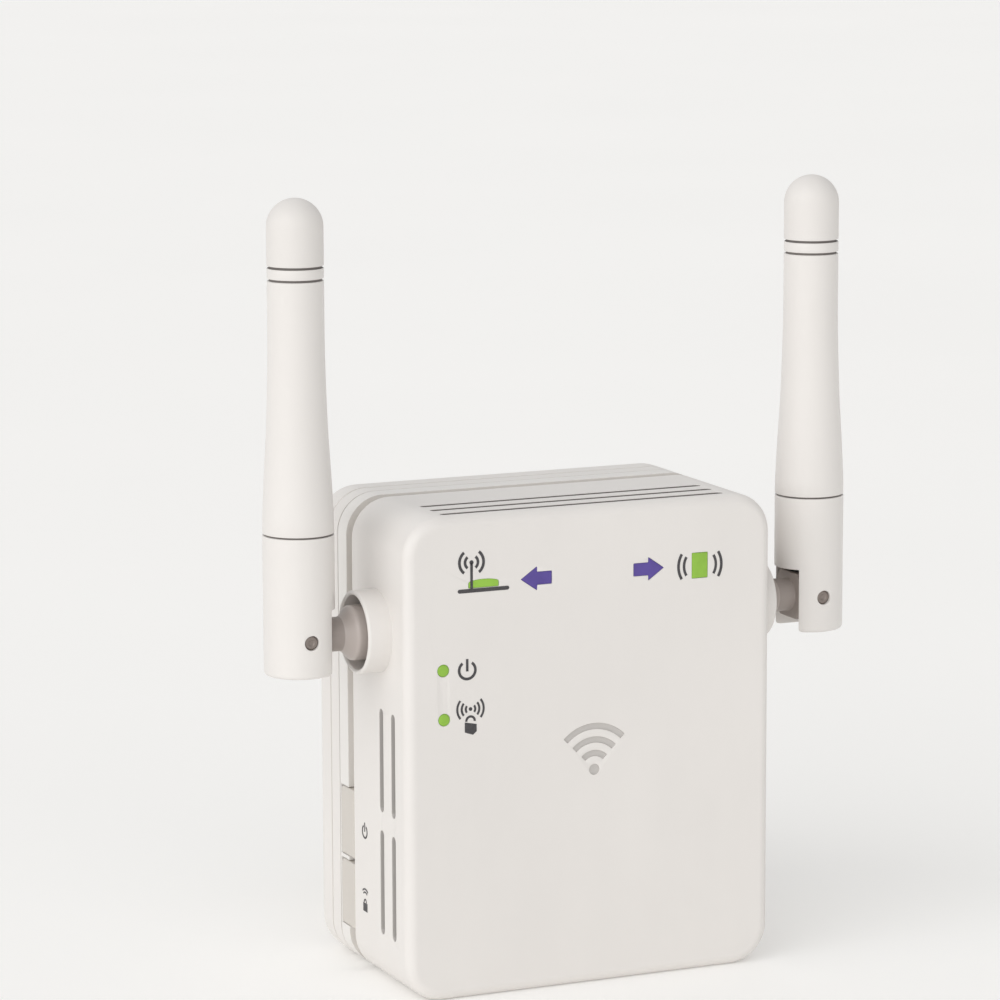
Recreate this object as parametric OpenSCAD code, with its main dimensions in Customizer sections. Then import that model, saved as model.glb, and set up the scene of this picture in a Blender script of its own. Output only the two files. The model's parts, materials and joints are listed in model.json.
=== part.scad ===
// Wall-plug wireless range extender with two swivelling antennas, as an assembly of its real pieces.
//
// Part frame: the origin is the centre of the plug's end face, midway between the two mains pins.
// +X is to the right seen from the front, +Y points into the wall along the pins, +Z is up.
//
// Most modules are written in housing coordinates and placed by in_housing(): the origin is the
// middle of the front face, y runs back into the housing and z runs up from the housing's centre.
// Pieces that come as a left and right pair are written for the right side and mirrored.

/* [Housing] */
// Width of the housing
body_w = 55.2; // [54.8:0.1:56]
// Height of the housing
body_h = 67.2; // [67:0.1:68]
// Depth of the housing, without the plug boss
body_d = 34; // [33.8:0.1:35]
// Radius of the housing's four corners, seen from the front
corner_r = 5.5; // [5:0.1:6]
// Rounding of the front edge
front_edge_r = 1.5; // [1:0.1:1.8]
// Rounding of the rear edge
rear_edge_r = 3.6; // [3:0.1:4]
// Wall thickness of the shells
wall = 1.8; // [1.6:0.1:1.9]
// Thickness of the front wall
front_wall = 2; // [1.8:0.1:2.1]
// Depth of the front cover
front_d = 19.2; // [19:0.1:19.4]
// Width of the recessed groove between the front cover and the band
groove_w = 2.1; // [1.8:0.1:2.3]
// Depth of the recessed groove
groove_depth = 1.2; // [0.8:0.1:1.4]
// Width of the band behind the groove
band_w = 3.1; // [3:0.1:3.3]

/* [Plug] */
// Distance of the pins below the housing's centre
plug_drop = 13; // [12.5:0.1:13.5]
// Height of the plug boss that enters the socket
boss_h = 17; // [16:0.5:17.5]
// Radius of the plug boss
boss_r = 18.4; // [18:0.1:18.6]
// Radius of a mains pin
pin_r = 2.4; // [2:0.1:2.4]
// Length of a mains pin
pin_len = 19; // [18:0.5:19.5]
// Distance between the two mains pins
pin_pitch = 19; // [18.6:0.1:19.4]

/* [Antennas] */
// Distance of the swivel axis behind the front face
swivel_y = 10.3; // [10.1:0.1:10.5]
// Height of the swivel axis above the housing's centre
swivel_z = 16.8; // [16.5:0.1:17]
// Outer radius of the collar round the swivel
collar_r = 5.75; // [5.6:0.05:5.8]
// Distance of the collar's rim from the middle of the housing
collar_x = 31.05; // [30.8:0.05:31.2]
// Distance of an antenna's axis from the middle of the housing
antenna_x = 38.9; // [38.8:0.1:40]
// Radius of an antenna at its base
base_r = 4.87; // [4.8:0.01:4.95]
// Radius of an antenna near its tip
tip_r = 3.84; // [3.6:0.01:3.9]
// Length of the antenna base, from its lower end to the seam
base_len = 19.2; // [19:0.1:20]
// Length of the blade above the seam
blade_len = 45.5; // [44:0.5:50]
// Distance of the hinge pin above the antenna's lower end
hinge_rise = 5; // [5:0.1:5.2]
// Radius of the hinge pin
hinge_pin_r = 1; // [0.9:0.05:1.1]
// Radial clearance of the hinge pin and of the swivel's journal in their bores
running_gap = 0.05; // [0.03:0.01:0.08]

/* [Buttons] */
// Travel of the latching power button
power_travel = 1.5; // [1:0.1:1.5]
// Travel of the pairing button
pair_travel = 0.5; // [0.3:0.1:0.6]
// Travel of the recessed reset button
reset_travel = 0.3; // [0.2:0.05:0.4]

/* [Vents] */
// Width of a slot in the top
top_slot_w = 1.2; // [1:0.1:1.4]
// Half the length of a slot in the top
top_slot_half = 21.3; // [19:0.1:21.5]
// Width of a slot in the sides
side_slot_w = 1.4; // [1.2:0.1:1.6]

/* [Hidden] */
$fn = 64;

// Length by which a cutter passes through what it cuts
over = 1;
// Gap round a piece that fits in an opening of the same body
fit_gap = 0.05;
shell_white = "#E2DED8";
groove_grey = "#A5A29D";
blade_white = "#E6E1DD";
knuckle_grey = "#8C827D";
board_green = "#2F6B43";
copper = "#B87333";
black_plastic = "#2A2A2C";
steel = "#B9BBBE";

front_y = -(boss_h + body_d);
groove_y = front_d;
band_y = front_d + groove_w;
rear_y = band_y + band_w + 0.2;
cavity_end = body_d - wall;
plug_z = -plug_drop;

// Depth of the tongue-and-groove overlap between two shells
tongue = 1.8;
// Distances of the middle frame's tongue and inner face from the housing's outer face
tongue_inset = wall + 0.1;
frame_inset = 2.8;

// Seam line round the rear cover
seam_y = 27.7;
seam_w = 0.4;

post_x = 21.4;
post_z = 28.2;
post_r = 2.5;
post_pilot_r = 1.05;
screw_head_y = 28;

board_y = 4.6;
board_t = 1.2;
board_back = board_y + board_t;
board_screw_at = [[0, 29.4], [-20, -20], [20, -19]];
board_boss_r = 1.9;

power_board_y = 28;
power_board_t = 1.6;

light_len = 3.6;
led_h = 0.7;

// The Ethernet socket opens in the underside
jack_w = 16;
jack_top = 18.8;
jack_mouth_z = -body_h / 2 + 0.6;
jack_len = 17;
jack_cavity_w = 11.8;
jack_cavity_y = [8.4, 16.9];
jack_cavity_len = 12.5;

reset_at = [13.5, 7.6];
reset_hole_r = 1;

// Edges of the button openings in the side of the middle frame: y and z limits
button_y = [groove_y, 24.1];
power_z = [-17.4, -7.7];
pairing_z = [-27.5, -18.2];
button_gap = 0.12;
button_flange_x = body_w / 2 - frame_inset - 0.1;
button_flange_t = 1;
switch_face_x = 20.9;
button_board_x = 15;
button_board_t = 1;

collar_bore_r = 5.1;
collar_floor_x = 24;
collar_floor_t = 1.5;
journal_r = 2.95;
clip_groove_r = 2.4;
washer_t = 0.4;
clip_t = 0.6;
swivel_disc_r = 3.8;
shaft_r = 2.35;
feed_r = 0.57;
feed_bore_r = 0.85;
// Angles about +X, from +Y towards +Z, of the stop tab on the swivel and the two ribs in the collar
stop_tab_a = 45;
stop_rib_a = [238, 302];
stop_rib_half = 3;
stop_tab_half = 10;

knuckle_half = 3.3;
knuckle_w = 6.7;
knuckle_chamfer = 0.95;
slot_w = 7;
slot_rise = 4;
slot_x = 3.5;
fork_corner_r = 2.2;
blade_wall = 0.95;
spigot_r = 3.85;
spigot_len = 3;
blade_z = swivel_z - hinge_rise + base_len;
tip_z = blade_z + blade_len;

module in_housing() { translate([0, front_y, plug_drop]) children(); }
module on_left() { mirror([1, 0, 0]) children(); }
module each_x() { children(); mirror([1, 0, 0]) children(); }
module each_corner() {
    for (sx = [-1, 1], sz = [-1, 1]) translate([sx * post_x, 0, sz * post_z]) children();
}

// An outline in x and z, extruded from y0 to y1
module slab(y0, y1) { translate([0, y1, 0]) rotate([90, 0, 0]) linear_extrude(y1 - y0) children(); }
module rod_x(x0, x1, r) { translate([x0, 0, 0]) rotate([0, 90, 0]) cylinder(h = x1 - x0, r = r); }
module rod_y(y0, y1, r) { translate([0, y1, 0]) rotate([90, 0, 0]) cylinder(h = y1 - y0, r = r); }
module rod_z(z0, z1, r) { translate([0, 0, z0]) cylinder(h = z1 - z0, r = r); }
module block(x, y, z) { translate([x[0], y[0], z[0]]) cube([x[1] - x[0], y[1] - y[0], z[1] - z[0]]); }
// A profile of radius and height, turned about the X axis
module turned_x() { rotate([0, 90, 0]) rotate_extrude() children(); }

module rounded_rect(w, h, r) {
    square([w - 2 * r, h], center = true);
    square([w, h - 2 * r], center = true);
    for (sx = [-1, 1], sz = [-1, 1]) translate([sx * (w / 2 - r), sz * (h / 2 - r)]) circle(r = r);
}

// The housing's outline, a given distance inside its outer face
module outline(inset = 0) {
    rounded_rect(body_w - 2 * inset, body_h - 2 * inset, max(corner_r - inset, 0.6));
}

module ring(y0, y1, outer, inner) {
    slab(y0, y1) difference() {
        outline(outer);
        outline(inner);
    }
}

// The housing's outer form from y0 to y1, with the edge at y0 rounded
module rounded_block(y0, y1, edge_r) {
    steps = 6;
    arc = [
        for (i = [0:steps]) let (a = 90 * i / steps)
            [corner_r - edge_r * (1 - sin(a)), edge_r * (1 - cos(a))]
    ];
    hull() {
        for (sx = [-1, 1], sz = [-1, 1]) {
            translate([sx * (body_w / 2 - corner_r), y0, sz * (body_h / 2 - corner_r)]) {
                rotate([-90, 0, 0]) rotate_extrude($fn = 32) {
                    polygon(concat([[0, 0]], arc, [[corner_r, y1 - y0], [0, y1 - y0]]));
                }
            }
        }
    }
}

// ---- indicator outlines, in x and z ------------------------------------------------------------

power_dot = [-22.1, 12.6];
pairing_dot = [-22, 5.8];
dot_r = 0.87;
router_at = [-16.1, 23.65];
router_dome = [4.5, 1.15];
device_at = [16.5, 24.15];
device_size = [2.45, 3.6];
left_arrow_tip = [-10.6, 24.25];
right_arrow_tip = [11, 24.25];
arrow_head = [2.4, 1.65];
arrow_tail = [2.25, 0.9];

module dot_outline() { circle(r = dot_r, $fn = 32); }
module router_outline() {
    w = router_dome[0] / 2;
    h = router_dome[1];
    polygon([[-w, 0], [w, 0], [w - 0.25, 0.65 * h], [w - 0.75, h], [0.75 - w, h], [0.25 - w, 0.65 * h]]);
}
module device_outline() { square(device_size, center = true); }
// An arrow pointing to +x with its tip at the origin
module arrow_outline() {
    polygon([
        [0, 0], [-arrow_head[0], arrow_head[1]], [-arrow_head[0], arrow_tail[1]],
        [-arrow_head[0] - arrow_tail[0], arrow_tail[1]], [-arrow_head[0] - arrow_tail[0], -arrow_tail[1]],
        [-arrow_head[0], -arrow_tail[1]], [-arrow_head[0], -arrow_head[1]]
    ]);
}

module place_power_light() { translate(power_dot) dot_outline(); }
module place_pairing_light() { translate(pairing_dot) dot_outline(); }
module place_router_light() { translate(router_at) router_outline(); }
module place_device_light() { translate(device_at) device_outline(); }
module place_left_arrow() { translate(left_arrow_tip) mirror([1, 0]) arrow_outline(); }
module place_right_arrow() { translate(right_arrow_tip) arrow_outline(); }
module all_lights() {
    place_power_light();
    place_pairing_light();
    place_router_light();
    place_device_light();
    place_left_arrow();
    place_right_arrow();
}

// ---- housing shells ----------------------------------------------------------------------------

// A round-ended slot in x and y, cut down through the top
module top_slot(y) {
    half = top_slot_half - top_slot_w / 2;
    translate([0, y, body_h / 2 - wall - over]) linear_extrude(wall + 2 * over) {
        square([2 * half, top_slot_w], center = true);
        for (s = [-1, 1]) translate([s * half, 0]) circle(r = top_slot_w / 2);
    }
}

// A round-ended slot between two heights, cut through the right side
module side_slot(y, z0, z1) {
    r = side_slot_w / 2;
    translate([body_w / 2 - wall - over, y, 0]) rotate([90, 0, 90]) linear_extrude(wall + 2 * over) {
        translate([-r, z0 + r]) square([side_slot_w, z1 - z0 - side_slot_w]);
        for (z = [z0 + r, z1 - r]) translate([0, z]) circle(r = r);
    }
}

module collar() {
    translate([0, swivel_y, swivel_z]) rod_x(collar_floor_x - collar_floor_t, collar_x, collar_r);
}

module collar_bores() {
    translate([0, swivel_y, swivel_z]) {
        rod_x(collar_floor_x, collar_x + over, collar_bore_r);
        rod_x(collar_floor_x - collar_floor_t - over, collar_floor_x + over, journal_r + running_gap);
    }
}

// A radial bar about the swivel axis, from radius r0 to r1, on a half angle about direction a
module radial_bar(a, half, r0, r1, x0, x1) {
    translate([x0, swivel_y, swivel_z]) rotate([a, 0, 0]) rotate([90, 0, 90]) linear_extrude(x1 - x0) {
        polygon([
            [r0 * cos(half), r0 * sin(half)], [r1 * cos(half), r1 * sin(half)], [r1, 0],
            [r1 * cos(half), -r1 * sin(half)], [r0 * cos(half), -r0 * sin(half)]
        ]);
    }
}

module collar_stops() {
    // The ribs run into the collar's wall, and stand clear of the swivel's disc
    for (a = stop_rib_a) radial_bar(a, stop_rib_half, 4, 5.3, 25.6, 29.4);
}

module board_bosses() {
    for (p = board_screw_at) translate([p[0], 0, p[1]]) rod_y(front_wall - 0.2, board_y, board_boss_r);
}

module front_cover() {
    top_slots = [2.75, 6.2, 9.65];
    side_slots = [4.8, 9];
    color(shell_white) in_housing() difference() {
        union() {
            difference() {
                rounded_block(0, front_d, front_edge_r);
                slab(front_wall, front_d + over) outline(wall);
            }
            each_x() collar();
            each_corner() rod_y(front_wall - 0.2, front_d, post_r);
            board_bosses();
        }
        for (y = top_slots) top_slot(y);
        each_x() for (y = side_slots) {
            side_slot(y, -8.4, 6.1);
            side_slot(y, -25.7, -11);
        }
        each_x() difference() {
            collar_bores();
            collar_stops();
        }
        each_corner() rod_y(8, front_d + over, post_pilot_r);
        for (p = board_screw_at) translate([p[0], 0, p[1]]) rod_y(2.6, board_y + over, 0.82);
        slab(-over, front_wall + over) light_openings();
        // Mouth of the Ethernet socket and the reset hole, both in the underside
        under = [-body_h / 2 - over, -body_h / 2 + wall + over];
        block([-jack_w / 2 - 0.2, jack_w / 2 + 0.2], [board_back - 0.3, jack_top - 0.1], under);
        translate([reset_at[0], reset_at[1], 0]) rod_z(under[0], under[1], reset_hole_r);
    }
}

// The openings for the indicators, a little wider than the light guides
module light_openings() {
    translate(power_dot) circle(r = dot_r + fit_gap, $fn = 32);
    translate(pairing_dot) circle(r = dot_r + fit_gap, $fn = 32);
    place_router_light();
    place_device_light();
    place_left_arrow();
    place_right_arrow();
}

module button_openings() {
    for (z = [power_z, pairing_z]) {
        block([-body_w / 2 - over, -body_w / 2 + frame_inset + over],
            [button_y[0] - 0.01, button_y[1]], [z[0] - button_gap, z[1] + button_gap]);
    }
}

module mid_frame() {
    color(groove_grey) in_housing() difference() {
        union() {
            ring(groove_y - tongue, groove_y, tongue_inset, frame_inset);
            ring(groove_y, band_y, groove_depth, frame_inset);
            ring(band_y, band_y + band_w, 0, frame_inset);
            ring(band_y + band_w, band_y + band_w + tongue, tongue_inset, frame_inset);
        }
        button_openings();
        // Room for the Ethernet socket in the front tongue
        block([-jack_w / 2 - 0.4, jack_w / 2 + 0.4], [groove_y - tongue - over, groove_y],
            [-body_h / 2, -body_h / 2 + 4]);
    }
}

// Distance of the flats above and below from the plug's axis
boss_flat = 16.9;

module flat_sided(r, flat) {
    difference() {
        circle(r = r);
        for (s = [-1, 1]) translate([-r, s > 0 ? flat : -flat - r]) square([2 * r, r]);
    }
}

// Outline of the plug boss, with flats above and below and a keyway at each side
module boss_outline(grow = 0) {
    keyway_w = 5.4 - 2 * grow;
    keyway_depth = 2;
    r = boss_r + grow;
    difference() {
        flat_sided(r, boss_flat + grow);
        for (s = [-1, 1]) translate([s > 0 ? r - keyway_depth : -r, -keyway_w / 2]) {
            square([keyway_depth, keyway_w]);
        }
    }
}

carrier_r = 14.6;
carrier_t = 4.2;
boss_bore_r = 13.2;
boss_flange_t = 1.3;

module rear_cover() {
    color(shell_white) in_housing() difference() {
        union() {
            difference() {
                mirror([0, 1, 0]) rounded_block(-body_d, -rear_y, rear_edge_r);
                slab(rear_y - over, cavity_end - 2) outline(wall);
                slab(cavity_end - 3, cavity_end) outline(wall + 1.6);
                ring(seam_y - seam_w / 2, seam_y + seam_w / 2, -over, 0.35);
            }
            each_corner() rod_y(groove_y + 0.2, cavity_end + 0.2, post_r);
            each_corner() rod_y(screw_head_y - 1.5, cavity_end + 0.2, post_r + 0.5);
        }
        translate([0, 0, plug_z]) slab(cavity_end - over, body_d + over) boss_outline(fit_gap);
        each_corner() rod_y(groove_y, screw_head_y + over, 1.25);
        each_corner() rod_y(screw_head_y, body_d + over, 2.15);
    }
}

// The moulding for one kind of socket, held behind the rear wall by a flange
module plug_boss() {
    boss_end = body_d + boss_h;
    color(shell_white) in_housing() translate([0, 0, plug_z]) difference() {
        union() {
            slab(cavity_end - 0.1, boss_end) boss_outline();
            slab(cavity_end - boss_flange_t, cavity_end) flat_sided(boss_r + 1.2, boss_flat - 0.2);
        }
        rod_y(cavity_end - boss_flange_t - over, boss_end - carrier_t + 0.1, boss_bore_r);
        rod_y(boss_end - carrier_t, boss_end + over, carrier_r + fit_gap);
    }
}

// ---- mains plug --------------------------------------------------------------------------------

// The shank moulded into the carrier is thinner than the part that enters the socket
pin_shank_r = 2.2;
pin_tail_r = 0.8;
// Length of the collars behind the carrier's disc
shank_backing = 3;
// Depth of the relief round each pin in the carrier's face
pin_relief = 0.3;

module pin_carrier() {
    end = body_d + boss_h;
    color("#D9D6D0") in_housing() translate([0, 0, plug_z]) difference() {
        union() {
            rod_y(end - carrier_t, end, carrier_r);
            // Collars behind the disc that back the pins
            for (s = [-1, 1]) translate([s * pin_pitch / 2, 0, 0]) {
                rod_y(end - carrier_t - shank_backing, end - carrier_t + 0.1, 3.6);
            }
        }
        for (s = [-1, 1]) translate([s * pin_pitch / 2, 0, 0]) {
            rod_y(end - carrier_t - shank_backing - over, end + over, pin_shank_r + 0.02);
            rod_y(end - pin_relief, end + over, pin_r + 0.04);
        }
    }
}

module mains_pin() {
    end = body_d + boss_h;
    head_end = end + pin_len - pin_r;
    color("#C9C4B2") in_housing() translate([pin_pitch / 2, 0, plug_z]) {
        rod_y(end, head_end, pin_r);
        translate([0, head_end, 0]) sphere(r = pin_r);
        rod_y(end - carrier_t - shank_backing, end + 0.1, pin_shank_r);
        rod_y(power_board_y - 0.6, end - carrier_t - shank_backing + 0.1, pin_tail_r);
    }
}
module right_mains_pin() { mains_pin(); }
module left_mains_pin() { on_left() mains_pin(); }

// ---- indicators --------------------------------------------------------------------------------

module light_guide(tint) { color(tint) in_housing() slab(0, light_len) children(); }
module power_light() { light_guide("#8DBE46") place_power_light(); }
module pairing_light() { light_guide("#8DBE46") place_pairing_light(); }
module router_light() { light_guide("#8DBE46") place_router_light(); }
module device_light() { light_guide("#8DBE46") place_device_light(); }
module left_arrow_light() { light_guide("#5A4BA0") place_left_arrow(); }
module right_arrow_light() { light_guide("#5A4BA0") place_right_arrow(); }

module light_baffle() {
    color(black_plastic) in_housing() slab(front_wall, light_len - 0.1) difference() {
        union() {
            translate([-18.6, 21.4]) square([37.2, 5.5]);
            translate([-24, 3.8]) square([5.2, 10.8]);
            translate([-20.6, 14]) square([2, 8]);
            translate([-24, 13.6]) square([5.2, 1]);
        }
        all_lights();
    }
}

module indicator_leds() {
    led_w = 1.6;
    led_l = 0.9;
    spots = [
        power_dot, pairing_dot, [router_at[0], router_at[1] + router_dome[1] / 2], device_at,
        [left_arrow_tip[0] + 2, left_arrow_tip[1]], [right_arrow_tip[0] - 2, right_arrow_tip[1]]
    ];
    color("#F2EFD8") in_housing() for (p = spots) {
        translate([p[0], 0, p[1]]) {
            block([-led_w / 2, led_w / 2], [board_y - led_h, board_y], [-led_l / 2, led_l / 2]);
        }
    }
}

// ---- main board --------------------------------------------------------------------------------

module main_board() {
    half_w = 24.4;
    half_h = 31.3;
    notch_x = 20.8;
    notch_half_h = 6.4;
    color(board_green) in_housing() difference() {
        slab(board_y, board_back) difference() {
            square([2 * half_w, 2 * half_h], center = true);
            // Room for the corner posts, the collars' wells and the board screws
            for (sx = [-1, 1], sz = [-1, 1]) {
                translate([sx * post_x, sz * post_z]) circle(r = post_r + 0.4);
                translate([sx * half_w, sz * half_h]) square([3, 6], center = true);
            }
            for (s = [-1, 1]) translate([s * (notch_x + half_w) / 2, swivel_z]) {
                square([half_w - notch_x + 0.01, 2 * notch_half_h], center = true);
            }
        }
        for (p = board_screw_at) translate([p[0], 0, p[1]]) rod_y(board_y - over, board_back + over, 1.1);
    }
}

module rf_shield() {
    can_y = [board_back, board_back + 2.4];
    skin = 0.3;
    color(steel) in_housing() difference() {
        block([-10.5, 10.5], can_y, [4, 27.5]);
        block([-10.5 + skin, 10.5 - skin], [can_y[0] - over, can_y[1] - skin], [4 + skin, 27.5 - skin]);
    }
}

module chip(x, t, z) { color(black_plastic) in_housing() block(x, [board_back, board_back + t], z); }
module system_chip() { chip([-5, 5], 1, [10, 20]); }
module memory_chip() { chip([-9, -1], 1.2, [-9, -4]); }

module ethernet_jack() {
    z0 = jack_mouth_z;
    color(black_plastic) in_housing() difference() {
        block([-jack_w / 2, jack_w / 2], [board_back, jack_top - 0.3], [z0, z0 + jack_len]);
        block([-jack_cavity_w / 2, jack_cavity_w / 2], jack_cavity_y, [z0 - over, z0 + jack_cavity_len]);
        // Keyway for the plug's latch
        block([-3.1, 3.1], [board_back + 1, jack_cavity_y[0] + 0.1], [z0 - over, z0 + jack_cavity_len]);
    }
}

module jack_contacts() {
    pitch = 1.02;
    z0 = jack_mouth_z + 4;
    color("#D4AF37") in_housing() for (i = [0:7]) {
        x = (i - 3.5) * pitch;
        z1 = jack_mouth_z + jack_cavity_len;
        block([x - 0.2, x + 0.2], [jack_cavity_y[1] - 0.5, jack_cavity_y[1]], [z0, z1]);
    }
}

// ---- mains power supply ------------------------------------------------------------------------

module power_board() {
    color("#B7A45C") in_housing() difference() {
        block([-18, 18], [power_board_y, power_board_y + power_board_t], [-24.5, 24.5]);
        for (s = [-1, 1]) translate([s * pin_pitch / 2, 0, plug_z]) {
            rod_y(power_board_y - over, power_board_y + power_board_t + over, pin_tail_r + 0.1);
        }
    }
}

core_x = [-7.5, 7.5];
core_y = [15.3, 27.3];
core_z = [2, 16];

module transformer_core() {
    color("#3A3A3F") in_housing() difference() {
        block(core_x, core_y, core_z);
        block([-4.9, 4.9], [core_y[0] + 2.4, core_y[1] - 2.4], [core_z[0] - over, core_z[1] + over]);
    }
}

module transformer_coil() {
    color("#D8B13A") in_housing() {
        block([-4.8, 4.8], [core_y[0] + 2.5, core_y[1] - 2.5], [core_z[0] - 1.5, core_z[1] + 1.5]);
        // Bobbin feet that carry the pins
        for (z = [core_z[0] - 3, core_z[1] + 1.5]) {
            block([-6.5, 6.5], [core_y[0] + 1, power_board_y], [z, z + 1.5]);
        }
    }
}

module bulk_capacitors() {
    r = 4;
    color("#23405F") in_housing() for (x = [-14.2, 2.2]) {
        translate([0, power_board_y - r, -20]) rod_x(x, x + 12, r);
    }
}

module output_capacitors() {
    color("#23405F") in_housing() for (x = [-13, 13]) {
        translate([x, 0, 20.6]) rod_y(power_board_y - 11.5, power_board_y, 3.1);
    }
}

module mains_choke() {
    color(copper) in_housing() translate([13, 0, -4]) {
        rod_y(power_board_y - 8, power_board_y - 7, 3.6);
        rod_y(power_board_y - 7, power_board_y - 1, 3);
        rod_y(power_board_y - 1, power_board_y, 3.6);
    }
}

module mains_fuse() {
    color("#6F8F5A") in_housing() block([8.5, 17], [power_board_y - 8, power_board_y], [6, 10]);
}

module board_header() {
    pin_half = 0.32;
    color(black_plastic) in_housing() {
        block([4, 14.2], [board_back, board_back + 2.5], [-11.3, -8.8]);
        block([4, 14.2], [power_board_y - 2.5, power_board_y], [-11.3, -8.8]);
        for (i = [0:3]) {
            translate([5.3 + 2.54 * i, 0, -10.05]) {
                block([-pin_half, pin_half], [board_back + 2, power_board_y - 2], [-pin_half, pin_half]);
            }
        }
    }
}

module isolation_sheet() {
    color("#E9E4C8") in_housing() block([-13.5, 18], [14.75, 15.25], [-2, 28]);
}

// ---- buttons and their switches -----------------------------------------------------------------

module button_board() {
    color(board_green) in_housing() {
        block([-button_board_x - button_board_t, -button_board_x], [board_back, 26.5], [-29, -4.6]);
    }
}

module power_switch() {
    mid_z = (power_z[0] + power_z[1]) / 2;
    mid_y = (button_y[0] + button_y[1]) / 2;
    color("#3C3C40") in_housing() translate([0, mid_y, mid_z]) difference() {
        block([-switch_face_x, -button_board_x - button_board_t], [-3.5, 3.5], [-3.5, 3.5]);
        block([-switch_face_x - over, -17], [-1.6, 1.6], [-1.6, 1.6]);
    }
}

module pairing_switch() {
    mid_z = (pairing_z[0] + pairing_z[1]) / 2;
    mid_y = (button_y[0] + button_y[1]) / 2;
    color("#3C3C40") in_housing() translate([0, mid_y, mid_z]) difference() {
        block([-19.5, -button_board_x - button_board_t], [-3, 3], [-3, 3]);
        rod_x(-19.5 - over, -17.6, 1.85);
    }
}

module reset_switch() {
    color("#3C3C40") in_housing() difference() {
        block([reset_at[0] - 3, reset_at[0] + 3], [board_back, board_back + 3.6], [-29.8, -26]);
        translate([reset_at[0], reset_at[1], 0]) rod_z(-29.8 - over, -27.6, 0.9);
    }
}

// A side button's cap, between heights z, with the flange that keeps it in the frame
module side_button(z, flange_z) {
    color("#DAD5CE") in_housing() {
        block([-body_w / 2, 0.1 - button_flange_x],
            [button_y[0] + button_gap, button_y[1] - button_gap], z);
        block([-button_flange_x, button_flange_t - button_flange_x],
            [button_y[0] - 0.6, button_y[1] + 0.6], flange_z);
    }
}
module power_button() { side_button(power_z, [power_z[0] - 0.3, power_z[1] + 0.3]); }
// The pairing button's flange stops short of the corner post
module pairing_button() { side_button(pairing_z, [0.3 - post_z + post_r, pairing_z[1] + 0.3]); }

module power_plunger() {
    mid_z = (power_z[0] + power_z[1]) / 2;
    mid_y = (button_y[0] + button_y[1]) / 2;
    color(black_plastic) in_housing() translate([0, mid_y, mid_z]) {
        block([-button_flange_x + button_flange_t, -18.9], [-1.45, 1.45], [-1.45, 1.45]);
    }
}

module pairing_plunger() {
    mid_z = (pairing_z[0] + pairing_z[1]) / 2;
    mid_y = (button_y[0] + button_y[1]) / 2;
    color(black_plastic) in_housing() translate([0, mid_y, mid_z]) {
        rod_x(-button_flange_x + button_flange_t, -18.4, 1.7);
    }
}

module reset_button() {
    color("#D9D6D0") in_housing() translate([reset_at[0], reset_at[1], 0]) {
        rod_z(-32.7, -28.2, 0.75);
        rod_z(-31.4, -30.5, 1.2);
    }
}

// ---- fasteners ---------------------------------------------------------------------------------

module cross_slot(l, w) { for (a = [0, 90]) rotate(a) square([l, w], center = true); }

module case_screws() {
    head_r = 1.9;
    color(steel) in_housing() each_corner() difference() {
        union() {
            rod_y(screw_head_y, screw_head_y + 1.5, head_r);
            rod_y(10, screw_head_y + 0.1, 1);
        }
        slab(screw_head_y + 0.7, screw_head_y + 1.5 + over) cross_slot(2, 0.45);
    }
}

module board_screws() {
    color(steel) in_housing() for (p = board_screw_at) translate([p[0], 0, p[1]]) difference() {
        union() {
            rod_y(board_back, board_back + 1, 1.7);
            rod_y(3, board_back + 0.1, 0.8);
        }
        slab(board_back + 0.5, board_back + 1 + over) cross_slot(1.8, 0.4);
    }
}

// ---- antenna swivel ----------------------------------------------------------------------------

washer_x = collar_floor_x - collar_floor_t - washer_t;
clip_x = washer_x - clip_t;
disc_end_x = 31.9;
swivel_flange_r = 4.9;

// The knuckle's section across its length, with chamfered corners that clear the slot's walls
module knuckle_section() {
    y = knuckle_w / 2;
    z = knuckle_half;
    c = knuckle_chamfer;
    polygon([
        [y, c - z], [y, z - c], [y - c, z], [c - y, z], [-y, z - c], [-y, c - z], [c - y, -z], [y - c, -z]
    ]);
}

module swivel() {
    journal_end = clip_x - 0.9;
    color(knuckle_grey) in_housing() difference() {
        union() {
            translate([0, swivel_y, swivel_z]) turned_x() {
                polygon([
                    [0, journal_end], [clip_groove_r, journal_end], [journal_r, journal_end + 0.4],
                    [journal_r, clip_x], [clip_groove_r, clip_x], [clip_groove_r, washer_x],
                    [journal_r, washer_x], [journal_r, collar_floor_x + 0.1],
                    [swivel_flange_r, collar_floor_x + 0.1], [swivel_flange_r, 25.3],
                    [swivel_disc_r, 25.3], [swivel_disc_r, disc_end_x - 0.5],
                    [3.62, disc_end_x - 0.1], [3.3, disc_end_x + 0.2], [2.85, disc_end_x + 0.6],
                    [2.5, disc_end_x + 1], [shaft_r, disc_end_x + 1.4],
                    [shaft_r, antenna_x - 2], [0, antenna_x - 2]
                ]);
            }
            radial_bar(stop_tab_a, stop_tab_half, 3.6, 4.85, 25.2, 29);
            translate([antenna_x, swivel_y, swivel_z]) {
                // Rounded end about the hinge, and the block that joins it to the shaft
                rotate([90, 0, 0]) rotate_extrude() intersection() {
                    rotate(90) knuckle_section();
                    translate([0, -knuckle_w]) square(2 * knuckle_w);
                }
                rotate([90, 0, -90]) linear_extrude(knuckle_half) knuckle_section();
            }
        }
        translate([antenna_x, swivel_y, swivel_z]) {
            rod_y(-knuckle_w / 2 - over, knuckle_w / 2 + over, hinge_pin_r + running_gap);
            // Way for the feed lead, along the shaft and up through the knuckle
            rod_x(journal_end - over - antenna_x, -1.4, feed_bore_r);
            translate([-2.2, 0, 0]) rod_z(0, knuckle_half + over, feed_bore_r);
        }
    }
}
module right_swivel() { swivel(); }
module left_swivel() { on_left() swivel(); }

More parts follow.
